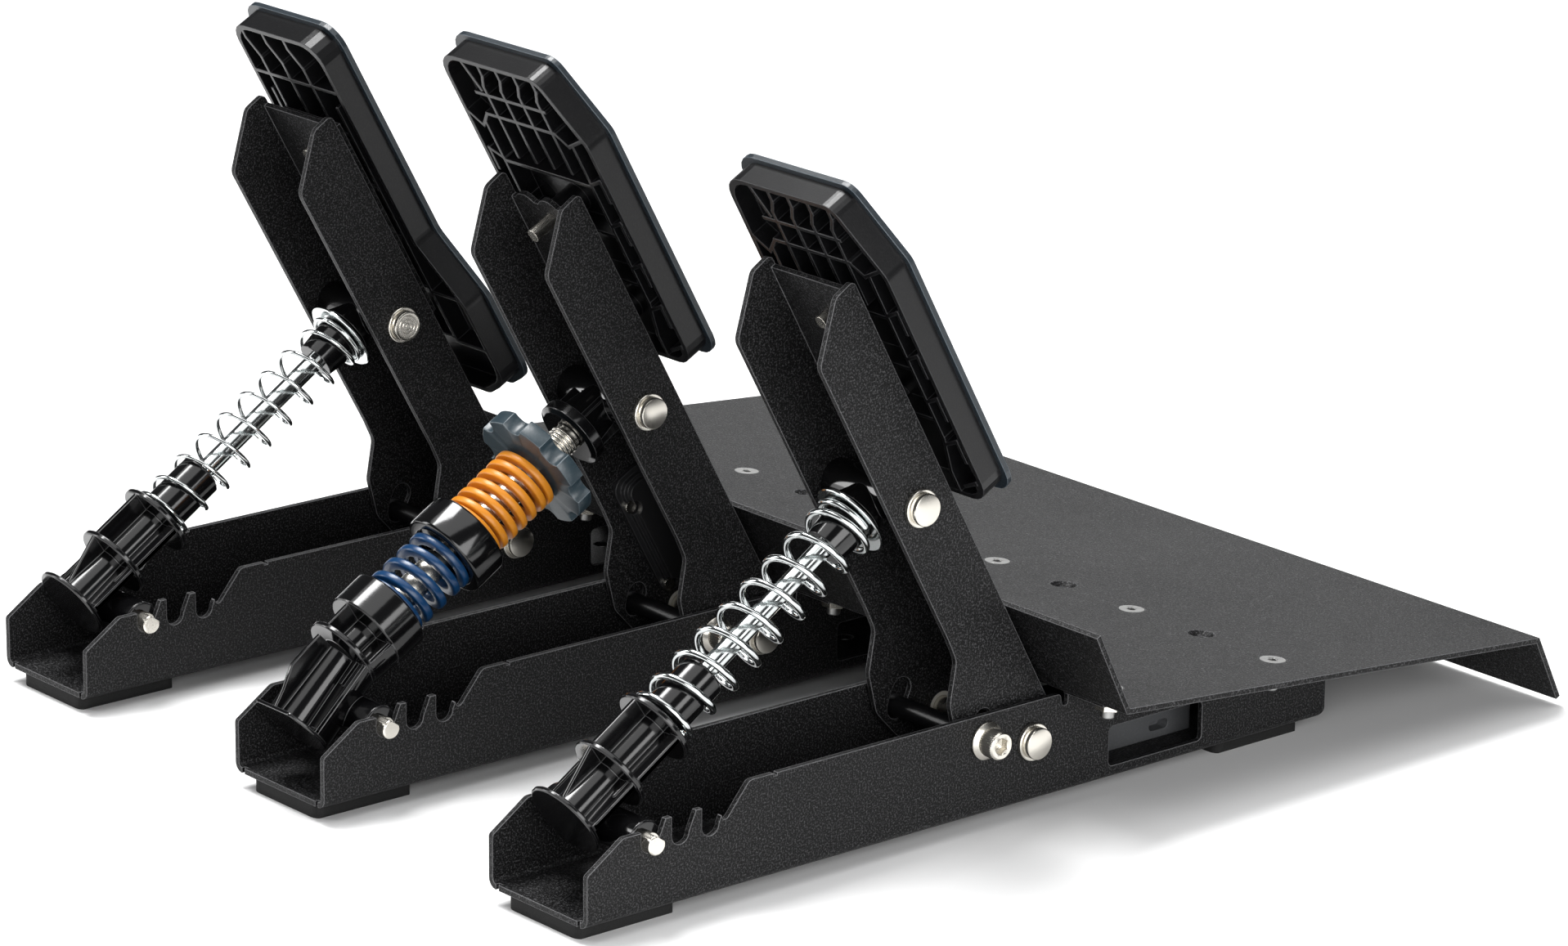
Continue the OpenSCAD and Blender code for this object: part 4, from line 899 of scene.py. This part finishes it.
def collarSurface(place):
    # a ring with two quarter-round edges and a pocket for a spring in each face
    s = springCollar
    low, high, e, bore, pocket = s["low"], s["high"], s["soft"], s["bore"], s["pocket"]
    inner = s["outside"] - e
    lowFloor, highFloor = low + s["lowPocket"], high - s["highPocket"]
    bend = np.linspace(0, np.pi / 2, s["edgeSteps"])
    lowEdge = [(inner + e * math.sin(b), low + e - e * math.cos(b)) for b in bend]
    highEdge = [(inner + e * math.cos(b), high - e + e * math.sin(b)) for b in bend]
    profile = [(bore, lowFloor), (pocket, lowFloor), (pocket, low), *lowEdge, *highEdge,
               (pocket, high), (pocket, highFloor), (bore, highFloor), (bore, lowFloor)]
    return revolve(profile, place, around=96)


starWheel = {"outside": 23.0, "low": 107.0, "height": 6.5, "bore": 5.05, "boreEdge": 0.5,
             "lobes": 8, "notch": 4.5, "notchAt": 24.2, "turn": 10.0, "soft": 0.5,
             "softMiddle": 0.3, "smoothTo": 30.0}


def starWheelSurface(place, around=384):
    # the rim is a circle cut by notch circles: along each ray the nearer of the two
    s = starWheel
    angle = np.linspace(0, 2 * np.pi, around, endpoint=False)
    step = 2 * np.pi / s["lobes"]
    off = (angle - math.radians(s["turn"]) + step / 2) % step - step / 2
    inside = s["notch"] ** 2 - (s["notchAt"] * np.sin(off)) ** 2
    cutRim = s["notchAt"] * np.cos(off) - np.sqrt(np.maximum(inside, 0))
    rim = np.where(inside > 0, np.minimum(cutRim, s["outside"]), s["outside"])
    low, high, e, chamfer = s["low"], s["low"] + s["height"], s["soft"], s["boreEdge"]
    bore, m = np.full(around, s["bore"]), e * s["softMiddle"]
    rings = [(bore, low), (bore + 0.01, low), (rim - e, low), (rim - m, low + m),
             (rim, low + e), (rim, high - e), (rim - m, high - m), (rim - e, high),
             (bore + chamfer, high), (bore, high - chamfer), (bore, low)]
    points = [np.stack([ring * np.cos(angle), ring * np.sin(angle), np.full(around, h)], -1)
              for ring, h in rings]
    return intoFrame(np.concatenate(points), place), gridFaces(len(rings), around)


brakePlace = strutFrame("brake")
makePiece("brakeRod", [brakeRodSurface(brakePlace)], "nickel", "brake_plunger",
          ["brake_rod"])
makePiece("springCollar", [collarSurface(brakePlace)], "mouldedBlack", "brake_collar_body",
          ["brake_collar"])
makePiece("starWheel", [starWheelSurface(brakePlace)], "zincBlue", "brake_adjuster",
          ["brake_wheel"], starWheel["smoothTo"])
print("strut pieces turned")


# floor, light and camera

studio = {"floor": (0.93, 0.93, 0.93), "bounce": (0.30, 0.30, 0.30), "reach": 9.0,
          "cloudScale": 3.0, "cloudDim": 0.99, "floorRoughness": 0.85, "floorSpecular": 0.2,
          "world": (0.55, 0.56, 0.58), "worldStrength": 0.12}
# each lamp's place, aim, size in metres and watts
lamps = {
    "keyBox": ((0.55, 0.2, 1.85), (0, 0, 0.05), (0.9, 0.8), 42.0),
    "topBox": ((-0.15, 0.1, 1.95), (0, 0, 0), (2.6, 2.2), 28.0),
    "toeStrip": ((1.15, 1.15, 0.6), (0, 0.1, 0.1), (0.35, 1.2), 9.0),
    "clutchBox": ((-1.1, 0.5, 0.35), (-0.1, 0.1, 0.0), (1.3, 0.7), 13.0),
    "heelBox": ((0.85, -0.95, 0.4), (0, 0, 0.05), (1.0, 0.4), 2.1),
}
view = {"azimuth": 229.71316, "elevation": 17.1677, "roll": 0.59725,
        "place": (-1.589884, 1.335512, 0.715337), "lens": 137.9422, "sensor": 36.0,
        "shift": (0.0026687, 0.0098872), "clip": (0.05, 50.0)}


def makeFloor():
    # pale to the camera and in reflections, and dimmer where it only throws light back up
    finish, tree, skin = newFinish("paleFloor")
    link = tree.links.new
    spot = addNode(tree, "TexCoord")
    cloud = setInputs(addNode(tree, "TexNoise"), Scale=studio["cloudScale"], Detail=2.0)
    link(spot.outputs["Object"], cloud.inputs["Vector"])
    rays = addNode(tree, "LightPath")
    seen = addNode(tree, "Math", operation="MAXIMUM")
    shown = addNode(tree, "Math", operation="MAXIMUM")
    link(rays.outputs["Is Camera Ray"], seen.inputs[0])
    link(rays.outputs["Is Glossy Ray"], seen.inputs[1])
    link(seen.outputs[0], shown.inputs[0])
    link(rays.outputs["Is Transmission Ray"], shown.inputs[1])
    paint = setInputs(addNode(tree, "Mix", data_type="RGBA"), A=(*studio["bounce"], 1))
    low = tuple(c * studio["cloudDim"] for c in studio["floor"])
    link(shown.outputs[0], paint.inputs["Factor"])
    link(blendColour(tree, cloud.outputs["Fac"], low, studio["floor"]), paint.inputs["B"])
    link(paint.outputs["Result"], skin.inputs["Base Color"])
    skin.inputs["Roughness"].default_value = studio["floorRoughness"]
    skin.inputs["Specular IOR Level"].default_value = studio["floorSpecular"]
    d = studio["reach"]
    mesh = bpy.data.meshes.new("floor")
    mesh.from_pydata([(-d, -d, 0), (d, -d, 0), (d, d, 0), (-d, d, 0)], [], [(0, 1, 2, 3)])
    floor = bpy.data.objects.new("floor", mesh)
    bpy.context.scene.collection.objects.link(floor)
    floor.data.materials.append(finish)


def stand(side, up, back, at):
    # the matrix of a lamp or camera, which looks against its back axis
    return Matrix([(side[i], up[i], back[i], at[i]) for i in range(3)] + [(0, 0, 0, 1)])


def makeLamp(name, at, aim, size, watts):
    lamp = bpy.data.lights.new(name, "AREA")
    lamp.shape = "RECTANGLE"
    lamp.size, lamp.size_y = size
    lamp.energy = watts
    holder = bpy.data.objects.new(name, lamp)
    bpy.context.scene.collection.objects.link(holder)
    back = np.array(at, float) - np.array(aim, float)
    back /= np.linalg.norm(back)
    side = np.cross((0, 0, 1.0), back)
    side /= np.linalg.norm(side)
    holder.matrix_world = stand(side, np.cross(back, side), back, at)


def makeWorld():
    world = bpy.data.worlds.new("studio")
    bpy.context.scene.world = world
    world.use_nodes = True
    setInputs(world.node_tree.nodes["Background"], Color=(*studio["world"], 1),
              Strength=studio["worldStrength"])


def makeCamera():
    # solved from the photo's parallel rails and equal pedals
    a, e, r = (math.radians(view[key]) for key in ("azimuth", "elevation", "roll"))
    back = np.array([math.sin(a) * math.cos(e), -math.cos(a) * math.cos(e), math.sin(e)])
    level = np.array([math.cos(a), math.sin(a), 0.0])
    upright = np.cross(back, level)
    side = math.cos(r) * level + math.sin(r) * upright
    up = -math.sin(r) * level + math.cos(r) * upright
    lens = bpy.data.cameras.new("camera")
    lens.sensor_fit = "HORIZONTAL"
    lens.sensor_width = view["sensor"]
    lens.lens = view["lens"]
    lens.shift_x, lens.shift_y = view["shift"]
    lens.clip_start, lens.clip_end = view["clip"]
    camera = bpy.data.objects.new("camera", lens)
    bpy.context.scene.collection.objects.link(camera)
    camera.matrix_world = stand(side, up, back, view["place"])
    bpy.context.scene.camera = camera


makeFloor()
for name, settings in lamps.items():
    makeLamp(name, *settings)
makeWorld()
makeCamera()
bpy.context.scene.view_settings.view_transform = "Standard"
print("studio set")
